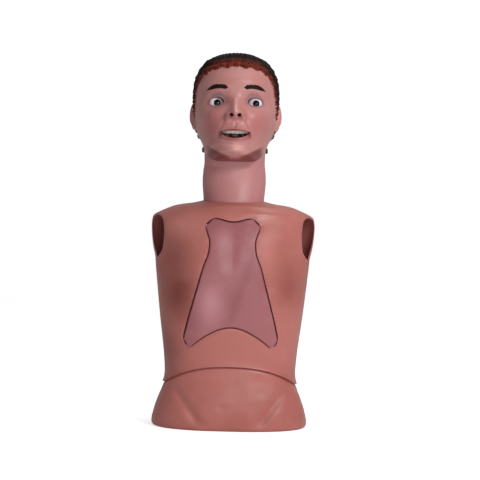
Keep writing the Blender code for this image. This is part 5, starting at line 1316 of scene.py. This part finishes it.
# HOSES
# Four short corrugated tubes of silicone, pushed on the spigots of the retainer.
# The upper pair stands inside the neck, the lower pair below it.
def finish_for(name, light, dark, roughness, scale, grain_strength=0.2, metallic=0.0, stretch=None):
    """A plain finish: cloudy between two colours, unevenly glossy, with a fine grain."""
    made, tree, principled = shader(name)
    where = tree.nodes.new("ShaderNodeTexCoord").outputs["Object"]
    cloud = ranged(tree, noise(tree, where, scale, 4.0, 0.6, stretch), 0.35, 0.70)
    tree.links.new(mixed(tree, cloud, light, dark), principled.inputs["Base Color"])
    patches = noise(tree, where, scale * 2.3, 3.0)
    uneven = ranged(tree, patches, 0.3, 0.7, roughness - 0.06, roughness + 0.08)
    tree.links.new(uneven, principled.inputs["Roughness"])
    principled.inputs["Metallic"].default_value = metallic
    bumped(tree, noise(tree, where, scale * 30, 2.0, 0.5, stretch), grain_strength, 0.0002, principled)
    return made


tube_soft = finish_for("tube_silicone", linear(222, 202, 176), linear(206, 182, 150), 0.38, 50)
HOSE_PITCH, HOSE_RIB = 0.0045, 0.0009
HOSE_FOOT, HOSE_LOW, HOSE_MIDDLE, HOSE_TOP = 0.3480, 0.3850, NECK_BOTTOM + 0.0005, 0.4965


def hose(name, y, outer, bore, low, high):
    """An open corrugated tube with rounded ribs outside and a plain bore."""
    count = max(3, round((high - low) / HOSE_PITCH))
    spin = 2 * np.pi * np.arange(40) / 40
    outside = []
    for share in np.linspace(0, 1, 12 * count + 1):
        radius = outer - HOSE_RIB * 0.5 * (1 + math.cos(2 * math.pi * count * share))
        outside.append((radius, low + share * (high - low)))
    wall = outside + [(bore, high), (bore, low)]
    rings = [np.stack([r * np.cos(spin), y + r * np.sin(spin), z + 0 * spin], -1) for r, z in wall]
    return piece(name, grid_mesh(name, rings, (False, False), around=True), tube_soft)


hose_kinds = (("windpipe", -0.0230, 0.0080, 0.0066), ("gullet", -0.0080, 0.0060, 0.0046))
for word, y, outer, bore in hose_kinds:
    upper_hose = hose(word + "_bend", y, outer, bore, HOSE_MIDDLE, HOSE_TOP)
    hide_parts(word + "_upper_hose")
    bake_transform(upper_hose)
    lower_hose = hose(word + "_twist", y, outer, bore, HOSE_FOOT, HOSE_LOW)
    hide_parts(word + "_lower_hose")
    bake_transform(lower_hose)


# INNER PIECES THAT KEEP THEIR CAD SHAPE
# Soft vinyl mouldings and bags, silicone tubes, plain plastic frames and turned steel.
# The solids give their form and how they are fixed, so only their finishes are set here.
mouth_soft = finish_for("mouth_soft", linear(170, 74, 74), linear(132, 46, 50), 0.30, 60)
lung_soft = finish_for("lung_vinyl", linear(196, 120, 118), linear(172, 88, 90), 0.42, 30)
stomach_soft = finish_for("stomach_vinyl", linear(206, 150, 128), linear(186, 122, 104), 0.42, 40)
# The window frame's dark red-brown is painted shade: it makes the gap round the chest plate read dark
ledge_dark_as_shade = finish_for("ledge_plastic_dark_as_shade", linear(92, 34, 32), linear(66, 20, 20), 0.50, 30)
frame_hard = finish_for("frame_plastic", linear(226, 224, 216), linear(212, 209, 199), 0.48, 30)
black_hard = finish_for("black_nylon", linear(16, 15, 15), linear(26, 25, 25), 0.42, 80)
steel_turned = finish_for(
    "turned_steel",
    linear(196, 196, 198),
    linear(170, 170, 174),
    0.28,
    200,
    grain_strength=0.3,
    metallic=1.0,
    stretch=(0.1, 1.0, 1.0),
)
finishes = {
    mouth_soft: ("tongue", "mouth_lining", "throat", "nasal_passages", "larynx", "epiglottis"),
    tube_soft: ("bronchial_tree", "gullet_lower"),
    lung_soft: ("lung_left", "lung_right"),
    stomach_soft: ("stomach",),
    ledge_dark_as_shade: ("window_frame",),
    frame_hard: (
        "organ_tray",
        "neck_ring",
        "neck_retainer",
        "skull_frame",
        "axle_spacer_left",
        "axle_spacer_right",
    ),
    black_hard: ("axle_knob_left", "axle_knob_right"),
    steel_turned: ("tilt_axle", "retainer_screw_1", "retainer_screw_2", "retainer_screw_3"),
}
for finish, names in finishes.items():
    for name in names:
        data = nodes[name].data
        if not data.materials:
            data.materials.append(finish)
        for k in range(len(data.materials)):
            data.materials[k] = finish
